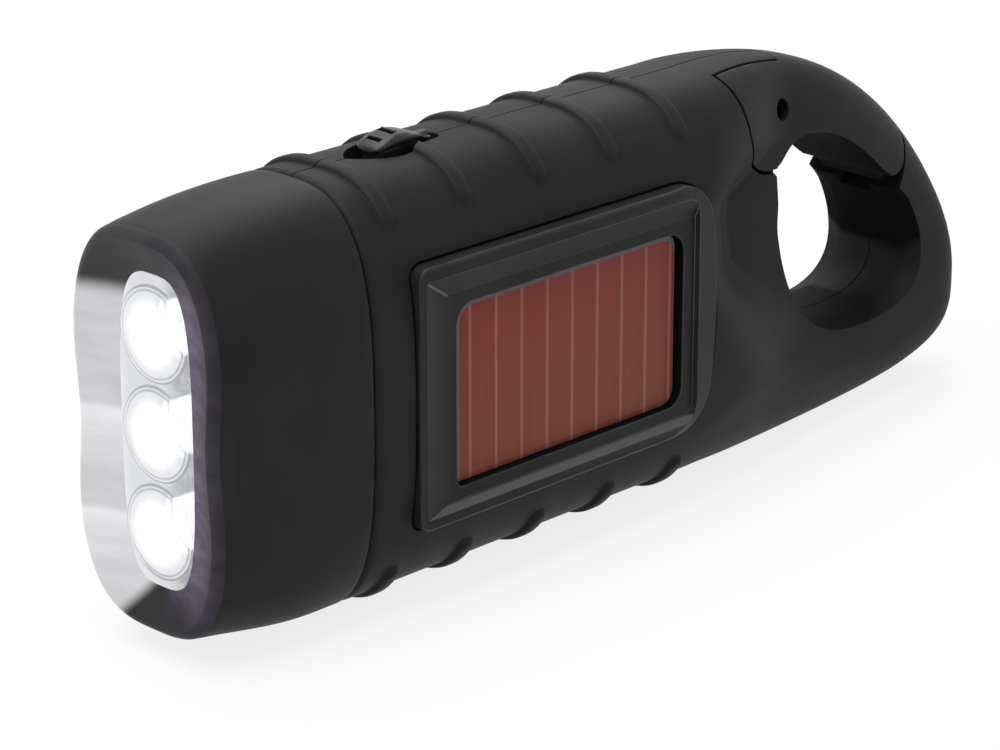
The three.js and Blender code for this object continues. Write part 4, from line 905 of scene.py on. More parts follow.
# %% Solar pocket and the two shells
FRAME_HALF_LENGTH, FRAME_HALF_HEIGHT, POCKET_Y = 24.25, 15.65, 11.4
FRAME_FRONT_CORNER, FRAME_REAR_CORNER, BULGE = 1.6, 5.0, 1.7
CELL_FRONT, CELL_BACK = 11.2, 9.7
WINDOW = ((-1.07, -0.97), (19.05, 10.95))


def frame_ring(y, grow=0.0, rear=0.0, bulge=0.0, steps=8):
    high = FRAME_HALF_HEIGHT + grow
    front_radius, rear_radius = FRAME_FRONT_CORNER + grow, FRAME_REAR_CORNER + grow
    front_x, front_z = FRAME_HALF_LENGTH + grow - front_radius, high - front_radius
    back = -FRAME_HALF_LENGTH - grow + rear
    rear_x, rear_z = back + rear_radius, high - rear_radius
    points = arc((front_x, front_z), front_radius, 0, 90, steps)
    points += arc((rear_x, rear_z), rear_radius, 90, 180, steps)
    points += [(back, rear_z * (1 - i / 8)) for i in range(1, 16)]
    points += arc((rear_x, -rear_z), rear_radius, 180, 270, steps)
    points += arc((front_x, -front_z), front_radius, 270, 360, steps)
    full = [(x - bulge * max(0, 1 - (z / high) ** 2) * smooth(-x, 16, 24), z) for x, z in points]
    return [Vector((x, y, z)) for x, z in full]


def sides_of(centre, half):
    return centre[0] + half[0], centre[0] - half[0], centre[1] + half[1], centre[1] - half[1]


def panel_ring(y, front, back, top, bottom, radii):
    corners = [(front, top), (back, top), (back, bottom), (front, bottom)]
    points = []
    for i, ((x, z), radius) in enumerate(zip(corners, radii)):
        centre = (x - math.copysign(radius, x), z - math.copysign(radius, z))
        points += [Vector((u, y, v)) for u, v in arc(centre, radius, 90 * i, 90 * i + 90, 8)]
    return points


def window_outline(grow, corner):
    return rounded_rectangle(WINDOW[0], (WINDOW[1][0] + grow, WINDOW[1][1] + grow), corner)


skirt_grow = 1.05 + FIT + 1.1
solar_shell = common(copy_of(grip), block(-100, 100, SEAM / 2, 60, -60, 60))
pocket_floor = loft([frame_ring(POCKET_Y - 1.5, 1.5), frame_ring(POCKET_Y + 1, 1.5)])
join(solar_shell, common(pocket_floor, copy_of(mid_wall)))
cut(solar_shell, loft([frame_ring(POCKET_Y, 0.3, 0.14, BULGE), frame_ring(HALF_WIDTH + 2, 0.3, 0.14, BULGE)]))
cut(solar_shell, prism(window_outline(skirt_grow + FIT, 1.5), "Y", CELL_BACK - 3, POCKET_Y + 1))
deliver(solar_shell, "solar_side_shell", shell_black, "torch")

# %% [markdown]
# ## The crank side
# This side doesn't show in the photograph. It has what such a lamp needs there: a round pad under
# the crank with a bushing in it, and the deep holes of the five shell screws.

# %% The crank side shell
CRANK_X, LEFT_WALL, PAD_HEIGHT = -12.0, -11.6, 0.6
ARM_Y = -(HALF_WIDTH + 1.1)
ARM_OUTER_Y = ARM_Y - 5.8
SCREW_FLOOR_Y = ARM_OUTER_Y + 2
HINGE_X, HINGE_Y = CRANK_X + 36, ARM_Y - 3.8
pad_low = -HALF_WIDTH - PAD_HEIGHT
plate_spots = [(-12, 15), (-12, -15.5), (19, 5)]
axles = [(-0.6957, 7.9154), (8.4968, 0.2019), (14.0468, -9.4110)]
crank_shell = common(grip, block(-100, 100, -60, -SEAM / 2, -60, 60))
pad_profile = [(0, LEFT_WALL), (9.5, LEFT_WALL), (9.5, pad_low + 0.25), (9.25, pad_low), (0, pad_low)]
join(crank_shell, turned(pad_profile, "Y", (CRANK_X, 0, 0), 96))
for x, z in plate_spots:
    join(crank_shell, common(rod(2.4, "Y", LEFT_WALL - 1, -4.0, (x, 0, z), 32), copy_of(mid_wall)))
cut(crank_shell, rod(3.7, "Y", -30, LEFT_WALL + 1, (CRANK_X, 0, 0), 64))
for x, z in axles:
    cut(crank_shell, rod(1.3, "Y", LEFT_WALL - 1.3, LEFT_WALL + 1, (x, 0, z), 24))
for x, z in plate_spots:
    cut(crank_shell, rod(1.1, "Y", LEFT_WALL + 0.3, 0, (x, 0, z), 24))
deliver(crank_shell, "crank_side_shell", shell_black, "torch")
discard(outside)
discard(mid_wall)

# %% [markdown]
# ## The head
# The head swells a little behind its front, and both sides are drawn in at mid height, which gives
# the front its two lobes. The front edge is a soft rim, and inside it a dish slopes down to the
# lens. Rings again make the skin, and a second loft is the dish that is cut from it.

# %% The head
WAIST_DEPTH, WAIST_HALF, RIM, DISH_X, DISH_WALL = 1.1, 8.0, 0.9, 50.0, 1.4
LENS_HALF_WIDTH, LENS_HALF_HEIGHT, LENS_LIP = 6.6, 18.9, 1.4
FACE_HALF_WIDTH, FACE_HALF_HEIGHT, FACE_GAP, LEAN = 5.9, 18.3, 0.12, 0.75
WALL_BACK, ROUNDING = DISH_X - DISH_WALL, 1.2


def head_ring(x, grow=0.0, count=320):
    share = (x - FRONT_X) / (HEAD_FRONT - FRONT_X)
    swell = SWELL * math.sin(math.pi * min(share, 1))
    half_width = HALF_WIDTH + (HEAD_HALF_WIDTH - HALF_WIDTH) * share + swell + grow
    half_height = HALF_HEIGHT + (HEAD_HALF_HEIGHT - HALF_HEIGHT) * share + swell + grow
    crown = CROWN + (HEAD_CROWN - CROWN) * share
    depth = WAIST_DEPTH * smooth(share, 0.25, 1)
    points = ring(x, half_width, half_height, 0, crown, count)
    for p in points:
        pinch = min(depth * math.exp(-((p.z / WAIST_HALF) ** 2)), abs(p.y))
        p.y -= math.copysign(pinch, p.y)
    return points


head_edge = HEAD_FRONT + 0.4
head_rings = [head_ring(x, -inset) for inset, x in ((0.4, 30.7), (0.2, 30.8), (0.06, 31.0), (0.0, 31.4))]
head_rings += [head_ring(31.4 + 0.95 * i) for i in range(1, 20)]
for angle in (12, 24, 36, 48, 60, 72, 81):
    t = math.radians(angle)
    head_rings.append(head_ring(head_edge - ROUNDING * (1 - math.sin(t)), -ROUNDING * (1 - math.cos(t))))
head_rings.append(head_ring(head_edge, -1.05))
head = loft(head_rings, "head")
inner_rings = [head_ring(x, -HEAD_WALL, 96) for x in [30 + 2.2 * i for i in range(9)] + [WALL_BACK]]
cut(head, loft(inner_rings))


def dish_ring(x, grow):
    return ring(x, FACE_HALF_WIDTH + grow, FACE_HALF_HEIGHT + grow, 0, 3.5, 160)


def between(start, end, share):
    return [a + (b - a) * share for a, b in zip(start, end)]


def lean_forward(piece):
    for v in piece.data.vertices:
        front = smooth(v.co.x, 36, 49)
        v.co.x += LEAN * front
        v.co.z += 0.06 * max(0, -12 - v.co.z) * front
    return piece


foot, lip = dish_ring(DISH_X, FACE_GAP), head_ring(head_edge, -0.3 - RIM, 160)
dish_rings = [foot]
for share in (0.1, 0.3, 0.55, 0.8, 0.94):
    sunk = between(foot, lip, share)
    dish_rings.append([Vector((p.x - 0.22 * math.sin(math.pi * share), p.y, p.z)) for p in sunk])
dish_rings += [lip, [Vector((p.x + 2, p.y, p.z)) for p in lip]]
cut(head, loft(dish_rings))
cut(head, loft([dish_ring(x, FACE_GAP) for x in (40, 60)]))
seat = rounded_bar(LENS_HALF_WIDTH + LENS_LIP + FIT, LENS_HALF_HEIGHT + LENS_LIP + FIT)
cut(head, prism(seat, "X", FRONT_X, WALL_BACK))
deliver(lean_forward(head), "head_housing", head_black, "torch")
deliver(neck_band(0, 0.6, 0.4), "head_seal", rubber_black, "torch")

# %% [markdown]
# ## Lens, reflector and lights
# One clear moulding covers all three lights: a flat bar with three low domes, each with a fine
# ring round it. Behind it a chromed plate has a stepped cup for each light, and in each cup sits a
# round headed light emitting diode. The lights are on in the photograph; their glow in the lens is
# painted light, given as emission.

# %% Finishes of the optics
def chrome_plate():
    f = Finish("chrome_plate")
    haze = f.noise(300, 3, 0.6)
    tint = f.blend(haze, (0.80, 0.82, 0.84, 1), (0.92, 0.94, 0.96, 1))
    ripple = f.bump(f.noise(900, 2, 0.5), 0.05, 0.00003)
    rough = haze.ramp(0.3, 0.7, 0.06, 0.13)
    return f.surface(base_color=tint, metallic=1.0, roughness=rough, normal=ripple)


def lit_diode():
    f = Finish("lit_diode")
    core = millimetres(f)[0].ramp(40, 45)
    glow = f.blend(core, (0.75, 0.85, 1.0, 1), (1.0, 1.0, 1.0, 1))
    return f.surface(base_color=(0.9, 0.93, 1, 1), roughness=0.2, emission_color=glow, emission_strength=9.0)


def lit_lens():
    f = Finish("lit_lens")
    x, y, z = millimetres(f)
    nearest = z.size().smaller((z - LED_PITCH).size()).smaller((z + LED_PITCH).size())
    radius = (y * y + nearest * nearest) ** 0.5
    front = x.ramp(50.2, 50.4)
    cloud = f.noise(420, 4, 0.65)
    # Painted light: the emission paints the LEDs' glow in the lens, bright in each dome, dimmed on two rings
    # and past the dome's edge.
    core = radius.ramp(2.6, 4.7, 1, 0) * cloud.ramp(0.3, 0.7, 0.75, 1.0)
    fine_line = (radius - 4.98).size().ramp(0.06, 0.2, 1, 0)
    bold_line = (radius - 5.45).size().ramp(0.06, 0.22, 1, 0)
    outside = radius.ramp(5.5, 5.7) * y.ramp(0.5, 4.5, 0.2, 1) * cloud.ramp(0.35, 0.6, 0.6, 1)
    glow = (core * 0.42 + 0.68 - fine_line * 0.3 - bold_line * 0.4 - outside * 0.45) * front
    light = f.blend(glow, BLACK, (0.97, 0.975, 1.0, 1))
    tint = f.blend(cloud, (0.10, 0.105, 0.11, 1), (0.16, 0.165, 0.17, 1))
    alpha = cloud.ramp(0.3, 0.7, 0.12, 0.2).larger(front * 0.93)
    rough = cloud.ramp(0.3, 0.7, 0.05, 0.12)
    return f.surface(
        base_color=tint, roughness=rough, alpha=alpha, ior=1.49, specular_ior_level=0.5,
        emission_color=light, emission_strength=1.0,
    )


LED_PITCH, CUP_MOUTH, CUP_THROAT, CUP_DEPTH, FLANGE = 11.5, 5.6, 3.3, 7.4, 1.2
clear, chrome, lit = lit_lens(), chrome_plate(), lit_diode()
print("optics:", clear.name, chrome.name, lit.name)

# %% The lens
light_heights = [LED_PITCH, 0, -LED_PITCH]
flange_front = WALL_BACK - FIT
flange_outline = rounded_bar(LENS_HALF_WIDTH + LENS_LIP, LENS_HALF_HEIGHT + LENS_LIP)
lens = prism(flange_outline, "X", flange_front - FLANGE, flange_front, "lens")
join(lens, loft([dish_ring(x, 0) for x in (flange_front - 0.2, DISH_X - 0.1)]))
dome = [(0, flange_front), (5.55, flange_front), (5.55, DISH_X), (5.45, DISH_X + 0.1)]
dome += [(5.25, DISH_X + 0.12), (5.15, DISH_X + 0.04), (5.05, DISH_X + 0.04)]
for angle in range(0, 90, 9):
    t = math.radians(angle)
    dome.append((5.0 * math.cos(t), DISH_X + 0.06 + 0.44 * math.sin(t)))
dome.append((0, DISH_X + 0.5))
for z in light_heights:
    join(lens, turned(dome, "X", (0, 0, z), 72))
deliver(lean_forward(lens), "lens", clear, "torch", 20)

# %% The reflector
plate_front = WALL_BACK - FIT - FLANGE - FIT
plate_back = plate_front - CUP_DEPTH
reflector = prism(flange_outline, "X", plate_back, plate_front, "reflector")
cup = [(0, plate_back - 1), (CUP_THROAT, plate_back - 1), (CUP_THROAT, plate_back + 1)]
for s in (0.1, 0.22, 0.36, 0.52, 0.68, 0.84, 1):
    cup.append((CUP_THROAT + (4.75 - CUP_THROAT) * s**0.6, plate_back + 1 + 4.4 * s))
cup += [(5.0, plate_front - 1.9), (5.0, plate_front - 1.2), (5.45, plate_front - 0.5)]
cup += [(CUP_MOUTH, plate_front), (CUP_MOUTH, plate_front + 1), (0, plate_front + 1)]
for z in light_heights:
    cut(reflector, turned(cup, "X", (0, 0, z), 72))
deliver(reflector, "reflector", chrome, "torch", 24)

# %% The lights
BULB = 2.5
led_low, led_high = (from_placed(corner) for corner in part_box("led_1"))
led_tip, led_foot = led_high.x, led_low.x
for i, z in enumerate(light_heights):
    profile = [(0, led_foot), (2.9, led_foot), (2.9, led_foot + 0.9), (2.75, led_foot + 1)]
    profile += [(BULB, led_foot + 1), (BULB, led_tip - BULB)]
    for t in (math.radians(12.857 * k) for k in range(1, 7)):
        profile.append((BULB * math.cos(t), led_tip - BULB + BULB * math.sin(t)))
    profile.append((0, led_tip))
    deliver(turned(profile, "X", (0, 0, z), 40), f"led_{i + 1}", lit, "torch", 40)

# %% [markdown]
# ## The solar frame and cell
# The bezel is a low tray: a rounded bead runs round it, slopes with mitred corners lead down to a
# flat land, and a window with round corners is cut through the land. At the back its outer edge
# slopes away to the skin. The cell lies a millimetre under the land, in a gap with a dark shadow,
# partly cast and partly painted on the window's walls and on the cell's plate.

# %% The solar frame
low, high, land = POCKET_Y + FIT, HALF_WIDTH + 0.6, HALF_WIDTH - 0.2
levels = [(low, 0, 0, 1), (high - 0.64, 0, 0, 1), (high - 0.45, 0, 0.9, 0.75), (high - 0.3, -0.02, 1.5, 0.55)]
levels += [(high - 0.15, -0.1, 2.0, 0.35), (high - 0.05, -0.22, 2.3, 0.2), (high, -0.36, 2.45, 0.1)]
bead_rings = [frame_ring(y, grow, rear, BULGE * share) for y, grow, rear, share in levels]
solar_frame = loft(bead_rings, "solar_frame")
crisp_corners = (0.3, 0.25, 0.25, 0.3)
steps_down = [
    panel_ring(land, 19.3, -22.0, 11.5, -13.4, (0.3, 0.3, 1.5, 0.3)),
    panel_ring(high - 0.07, 23.15, -22.22, 13.86, -14.12, crisp_corners),
    panel_ring(high, 23.35, -22.3, 14.0, -14.22, crisp_corners),
    panel_ring(high + 1, 23.4, -22.35, 14.05, -14.25, crisp_corners),
]
skirt = prism(window_outline(skirt_grow, 1.4), "Y", CELL_BACK, low + 0.2)
join(solar_frame, skirt)
cut(solar_frame, loft(steps_down))
window_corners = (2.6, 2.6, 2.4, 1.1)
cut(solar_frame, loft([panel_ring(y, *sides_of(*WINDOW), window_corners) for y in (0, 20)]))
cut(solar_frame, prism(window_outline(1.05 + FIT, 0.5), "Y", 0, CELL_FRONT))
deliver(solar_frame, "solar_frame", frame_black, "torch", 12)

# %% [markdown]
# The cell is silicon on a plate, sealed under a clear resin pad that stands up in the window with
# a dark gap round it. Nine strips lie side by side, and a fine pale line joins each to the next.
# The shade runs from red at the top to brown below. The pattern is drawn from distances: one to
# the nearest line, one to the edge of the print, past which the resin is grey, and one to the
# pad's edge, past which the plate in the gap is painted near black as shade.

# %% The cell's finish
PAD_CENTRE, PAD_HALF, PAD_CORNER, PAD_Y = (-0.87, -0.95), (18.72, 10.86), 0.5, 12.35
PRINT_CENTRE, PRINT_HALF, PRINT_CORNER = (-1.4, -2.45), (18.05, 11.55), 2.1
STRIP_PITCH, STRIP_START = 4.2, 0.24


def inside_of(x, z, centre, half, corner):
    over_x, over_z = (x - centre[0]).size() - (half[0] - corner), (z - centre[1]).size() - (half[1] - corner)
    rounded = (over_x.larger(0) ** 2 + over_z.larger(0) ** 2) ** 0.5
    return rounded + over_x.larger(over_z).smaller(0) - corner


def cell_glass():
    f = Finish("cell_glass")
    x, y, z = millimetres(f)
    along, up = x - PAD_CENTRE[0], z - PAD_CENTRE[1]
    edge = inside_of(x, z, PAD_CENTRE, PAD_HALF, PAD_CORNER)
    printed = inside_of(x, z, PRINT_CENTRE, PRINT_HALF, PRINT_CORNER)
    strip = along * (1 / STRIP_PITCH) + STRIP_START
    from_line = (strip.math("FRACT", strip) - 0.5).size()
    line = from_line.ramp(0.42, 0.49)
    shade = f.node("ShaderNodeTexWhiteNoise", {"noise_dimensions": "1D"}, {"W": strip.math("FLOOR", strip)})
    red, brown = (0.205, 0.034, 0.028, 1), (0.186, 0.049, 0.025, 1)
    body = f.blend(up.ramp(-9, 8), brown, red)
    streak = f.noise(900, 2, 0.5, stretch=(1, 1, 0.03))
    body = f.blend(streak.ramp(0.35, 0.65, 0, 0.3), body, (0.160, 0.036, 0.028, 1))
    body = f.blend(shade * 0.22, body, (0.25, 0.055, 0.040, 1))
    lined = f.blend(line * 0.6, body, (0.36, 0.16, 0.12, 1))
    rimmed = f.blend(printed.ramp(-0.1, 0.1), lined, (0.11, 0.118, 0.11, 1))
    # Painted shade: past the pad's edge the plate in the gap is near black.
    color = f.blend(edge.ramp(0.05, 0.2), rimmed, (0.004, 0.004, 0.004, 1))
    rough = streak.ramp(0.3, 0.7, 0.42, 0.5)
    return f.surface(
        base_color=color, roughness=rough, coat_weight=0.06, coat_roughness=0.15, specular_ior_level=0.12
    )


cell_red = cell_glass()
cell = prism(window_outline(1.05, 0.3), "Y", CELL_BACK, CELL_FRONT - FIT, "cell")
pad_corners = (2.3, 2.0, 2.0, 0.6)
pad_rings = [panel_ring(y, *sides_of(PAD_CENTRE, PAD_HALF), pad_corners) for y in (CELL_BACK + 0.2, PAD_Y)]
pad = bevelled_rim(loft(pad_rings, "pad"), PAD_Y, 0.2, 3)
deliver(join(cell, pad), "solar_cell", cell_red, "torch")

# %% [markdown]
# ## The switch slider
# The thumb piece is broad in front, where two grooves cross its slope, dips behind its crest and
# ends in a narrow tail. Rings along its length give that body, and the grooves are cut after.

# %% The slider
def slider_ring(x, half_width, top, low, crown=2.8, count=48):
    return ring(x, half_width, (top - low) / 2, (top + low) / 2, crown, count)


slider_low, lip_z = recess_floor + FIT, 25.5
thumb_steps = [
    (9.2, 0.42, 25.1), (9.35, 0.62, 25.25), (9.8, 0.76, 25.4), (10.4, 0.84, 25.6), (11.2, 0.95, 25.92),
    (12.0, 1.15, 26.25), (12.7, 1.4, 26.52), (13.4, 1.7, 26.78), (14.1, 1.9, 27.0), (14.9, 2.0, 27.13),
    (15.6, 2.05, 27.13), (16.4, 2.08, 27.0), (17.2, 2.08, 26.75), (17.9, 2.0, 26.45), (18.4, 1.85, 26.2),
    (18.75, 1.65, 26.0), (18.95, 1.3, 25.8),
]
thumb = [slider_ring(x, w, top, lip_z - 0.6 if x < 11 else lip_z - 0.25) for x, w, top in thumb_steps]
slider = loft(thumb, "slider")
skirt_steps = [(9.8, 0.55), (11, 0.7), (12.3, 1.0), (13.7, 1.45), (15.5, 1.7), (17.2, 1.65), (18.3, 1.2)]
join(slider, loft([slider_ring(x, w, lip_z + 0.5, slider_low, 4) for x, w in skirt_steps]))
for x, z, tilt, reach in ((15.95, 27.08, 6, 1.2), (17.75, 26.55, 20, 1.1)):
    bead = both_ends([(0, reach + 0.15), (0.2, reach), (0.34, reach - 0.15)])
    join(slider, turned(bead, "Y", (x - 0.5, 0, z - 0.16), 20))
    groove = block(-0.3, 0.3, -reach, reach, -0.7, 1.2)
    groove.data.transform(Matrix.Translation((x, 0, z)) @ Matrix.Rotation(math.radians(tilt), 4, "Y"))
    cut(slider, groove)
join(slider, block(stem_low, stem_high, -0.9, 0.9, recess_floor - 1 - FIT - 1.2, slider_low + 0.8))
deliver(slider, "switch_slider", switch_black, "switch")

# %% [markdown]
# ## The crank
# The crank lies folded against the side. Its arm is a lever with a round hub and a slot in which
# the knob rests. The knob turns on an axle that folds out on a hinge block at the arm's tip.

# %% The crank arm
def lever_outline(x0, r0, x1, r1):
    tilt = math.degrees(math.acos((r0 - r1) / (x1 - x0)))
    return arc((x0, 0), r0, tilt, 360 - tilt, 40) + arc((x1, 0), r1, -tilt, tilt, 30)


KNOB_RADIUS, KNOB_LENGTH = 4.0, 15.5
knob_near, knob_far = HINGE_X - 4.5, HINGE_X - 20.0
arm = prism(lever_outline(CRANK_X, 9, HINGE_X, 7.5), "Y", ARM_OUTER_Y, ARM_Y, "arm")
bevelled_rim(arm, ARM_OUTER_Y, 1.1)
bevelled_rim(arm, ARM_Y, 0.35, 2)
slot_rear, slot_front = knob_far - 1, HINGE_X + 3.4
slot = rounded_rectangle(((slot_rear + slot_front) / 2, 0), ((slot_front - slot_rear) / 2, 4.4), 0.9)
cut(arm, prism(slot, "Y", ARM_OUTER_Y - 1, ARM_Y + 1))
cut(arm, rod(1.4, "Z", -20, 20, (HINGE_X, HINGE_Y, 0), 32))
cut(arm, rod(2.3, "Y", ARM_OUTER_Y, ARM_Y + 1, (CRANK_X, 0, 0)))
screw_seat = [(0, ARM_OUTER_Y - 1), (4.1, ARM_OUTER_Y - 1), (3.6, ARM_OUTER_Y + 0.35)]
screw_seat += [(3.6, SCREW_FLOOR_Y), (0, SCREW_FLOOR_Y)]
cut(arm, turned(screw_seat, "Y", (CRANK_X, 0, 0)))
for side in (-1, 1):
    web = rounded_rectangle((-2.2, side * 2.6), (2.6, 1.5), 0.9)
    cut(arm, prism(web, "Y", ARM_OUTER_Y - 1, ARM_OUTER_Y + 0.7))
deliver(arm, "crank_arm", crank_black, "crank", 40)

# %% The folding knob
barrel = turned(both_ends([(0, 4.1), (2.7, 4.1), (3, 3.8)]), "Z", (HINGE_X, HINGE_Y, 0))
stub = [(0, knob_near + FIT), (2.4, knob_near + FIT), (2.7, knob_near + 0.6), (2.7, HINGE_X), (0, HINGE_X)]
knob_block = join(barrel, turned(stub, "X", (0, HINGE_Y, 0)))
cut(knob_block, rod(1.4, "Z", -20, 20, (HINGE_X, HINGE_Y, 0), 32))
cut(knob_block, rod(1.5, "X", knob_near - 1, HINGE_X - 1.9, (0, HINGE_Y, 0), 32))
deliver(knob_block, "knob_block", crank_black, "knob_carrier", 40)

grip_line = [(1.5, knob_near), (3.3, knob_near), (3.75, knob_near - 0.15), (KNOB_RADIUS, knob_near - 0.6)]
for i in range(1, 12):
    share = i / 12
    dip = 0.5 * math.sin(math.pi * share)
    x = knob_near - 0.6 - (KNOB_LENGTH - 1.2) * share
    crest, groove = KNOB_RADIUS - dip, 3.86 - dip
    grip_line += [(crest, x + 0.35), (groove, x + 0.15), (groove, x - 0.15), (crest, x - 0.35)]
grip_line += [(KNOB_RADIUS, knob_far + 0.6), (3.75, knob_far + 0.15), (3.3, knob_far), (2.7, knob_far)]
grip_line += [(2.7, knob_far + 1.4), (1.5, knob_far + 1.4), (1.5, knob_near)]
deliver(turned(grip_line, "X", (0, HINGE_Y, 0), 64), "knob", crank_black, "knob", 30)

# %% [markdown]
# ## Metal parts
# Screws, pins and axles are zinc plated steel: bright, a little hazy, with the marks of turning.
# The heads that can be seen get a chamfer and a cross recess.

# %% Metal and small parts
def plated(name, color, roughness, streaks=(1, 1, 1)):
    f = Finish(name)
    marks = f.noise(900, 3, 0.6, stretch=streaks)
    spots = f.noise(160, 3, 0.6)
    dull = tuple(0.62 * c for c in color[:3]) + (1,)
    tint = f.blend(spots.ramp(0.35, 0.75, 0, 0.6), color, dull)
    rough = marks.ramp(0.3, 0.7, roughness - 0.06, roughness + 0.08)
    return f.surface(base_color=tint, metallic=1.0, roughness=rough, normal=f.bump(marks, 0.12, 0.00002))


zinc = plated("zinc_steel", (0.52, 0.52, 0.53, 1), 0.3)
blackened = plated("blackened_steel", (0.03, 0.03, 0.032, 1), 0.45)


def cross_head(radius, top, seat, x, z, reach, half=0.35, depth=0.9):
    profile = [(0, top), (radius - 0.35, top), (radius, top + 0.35), (radius, seat), (0, seat)]
    head = turned(profile, "Y", (x, 0, z), 40)
    for wide, tall in ((reach, half), (half, reach)):
        cut(head, block(x - wide, x + wide, top - 1, top + depth, z - tall, z + tall))
    return head


for i, (x, z, floor_y, tip_y) in enumerate(screw_spots):
    seat_y = floor_y - FIT
    screw = cross_head(2.6, seat_y - 1.8, seat_y, x, z, 1.7)
    thread = [(0, seat_y - 0.2), (1.1, seat_y - 0.2)]
    turns = int((tip_y - seat_y - 1.2) / 0.8)
    for k in range(turns):
        y = seat_y + 0.2 + 0.8 * k
        thread += [(0.92, y), (1.2, y + 0.4)]
    thread += [(0.9, tip_y - 0.7), (0, tip_y)]
    deliver(join(screw, turned(thread, "Y", (x, 0, z), 24)), f"shell_screw_{i + 1}", zinc, "torch")

hub = cross_head(3.3, ARM_OUTER_Y + 0.2, SCREW_FLOOR_Y - FIT, CRANK_X, 0, 2, 0.4)
join(hub, rod(1, "Y", SCREW_FLOOR_Y - FIT - 0.2, -12, (CRANK_X, 0, 0), 32))
deliver(hub, "hub_screw", zinc, "crank")
deliver(turned(gate_pin, "Y", (GATE_X, 0, GATE_Z), 40), "gate_pin", blackened, "torch")
hinge_end = 7.1
hinge_pin = both_ends([(0, hinge_end), (0.8, hinge_end), (1.1, hinge_end - 0.25)])
deliver(turned(hinge_pin, "Z", (HINGE_X, HINGE_Y, 0), 40), "knob_hinge_pin", zinc, "crank")
axle_end = knob_far + 0.2
axle = [(0, axle_end), (1.9, axle_end), (2.4, axle_end + 0.3), (2.4, axle_end + 0.9)]
axle += [(1.2, axle_end + 0.9), (1.2, HINGE_X - 2.2), (0, HINGE_X - 2.2)]
deliver(turned(axle, "X", (0, HINGE_Y, 0), 40), "knob_axle", zinc, "knob_carrier")

# %% [markdown]
# ## Finishes of the inner pieces
# Gears, boards, battery and wires lie inside the closed shells. They keep their measured meshes
# and still get the finish of the real material, since the lamp may be shown opened or cut.

# %% Finishes for the inside
def simple(name, low, high, scale, roughness, metallic=0.0, grain=0.1):
    f = Finish(name)
    spots = f.noise(scale, 3, 0.6)
    tint = f.blend(spots.ramp(0.3, 0.7), low, high)
    rough = spots.ramp(0.3, 0.7, roughness - 0.05, roughness + 0.05)
    normal = f.bump(f.noise(2000, 2, 0.5), grain, 0.00003)
    return f.surface(base_color=tint, metallic=metallic, roughness=rough, normal=normal)


def board_green():
    f = Finish("board_green")
    greens = {"Color1": (0.02, 0.13, 0.05, 1), "Color2": (0.03, 0.16, 0.06, 1)}
    greens["Mortar"] = (0.07, 0.25, 0.1, 1)
    pattern = {"Vector": f.place(), "Scale": 260.0, "Mortar Size": 0.03}
    tracks = f.node("ShaderNodeTexBrick", inputs={**pattern, **greens})
    return f.surface(base_color=tracks, roughness=f.noise(300).ramp(0.3, 0.7, 0.3, 0.45), coat_weight=0.3)


def copper_winding():
    f = Finish("copper_winding")
    x, y, z = f.axes()
    turn = y.math("SINE", y * (2 * math.pi / (0.28 * MM)))
    tint = f.blend(turn.ramp(-1, 1), (0.30, 0.10, 0.04, 1), (0.62, 0.27, 0.12, 1))
    return f.surface(base_color=tint, metallic=1.0, roughness=0.35, normal=f.bump(turn, 0.6, 0.00005))


nylon = simple("natural_nylon", (0.62, 0.58, 0.48, 1), (0.76, 0.73, 0.63, 1), 60, 0.45)
ferrite = simple("dark_ferrite", (0.035, 0.035, 0.038, 1), (0.075, 0.075, 0.08, 1), 700, 0.55, 0.3, 0.3)
sleeve = simple("battery_sleeve", (0.02, 0.12, 0.05, 1), (0.03, 0.17, 0.08, 1), 50, 0.35)
red_cover = simple("red_cover", (0.32, 0.018, 0.012, 1), (0.42, 0.03, 0.02, 1), 80, 0.4)
black_cover = simple("black_cover", (0.012, 0.012, 0.013, 1), (0.02, 0.02, 0.021, 1), 80, 0.4)
brushed = plated("brushed_steel", (0.46, 0.46, 0.47, 1), 0.34, streaks=(0.05, 1, 1))
tinned = plated("tinned_sheet", (0.56, 0.56, 0.56, 1), 0.36)
board, winding = board_green(), copper_winding()

bush = [(2.3, pad_low), (3.2, pad_low), (3.4, pad_low + 0.2), (3.4, LEFT_WALL), (2.3, LEFT_WALL)]
deliver(turned(bush + bush[:1], "Y", (CRANK_X, 0, 0), 48), "crank_bush", nylon, "torch")
plate_screws = [f"plate_screw_{i}" for i in (1, 2, 3)]
kept = {
    zinc: ["gate_spring", "crank_shaft", "axle_a", "axle_b", "rotor_shaft", *plate_screws],
    tinned: ["switch_case", "stator_can"],
    brushed: ["gear_plate"],
    nylon: ["drive_gear", "step_gear_a", "step_gear_b", "rotor_pinion"],
    board: ["main_board", "led_board"],
    ferrite: ["rotor_magnet"],
    winding: ["stator_coil"],
    sleeve: ["battery_pack"],
    shell_black: ["battery_cradle"],
    red_cover: ["led_wire_positive", "solar_wire_positive", "battery_wire_positive"],
    black_cover: ["led_wire_negative", "solar_wire_negative", "battery_wire_negative", "generator_wire"],
}
for material, names in kept.items():
    for name in names:
        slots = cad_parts[name].data.materials
        slots.clear()
        slots.append(material)
print("kept nodes:", sum(len(names) for names in kept.values()), "fine pieces:", len(finished))

# %% [markdown]
# ## Studio
# The photograph shows the lamp on white with soft light from above. The floor is pale and keeps
# the lamp's shadow, but part of it glows at plain white, so that it never needs a strong lamp. The
# world is white to the camera and in reflections, and a soft grey for everything else.

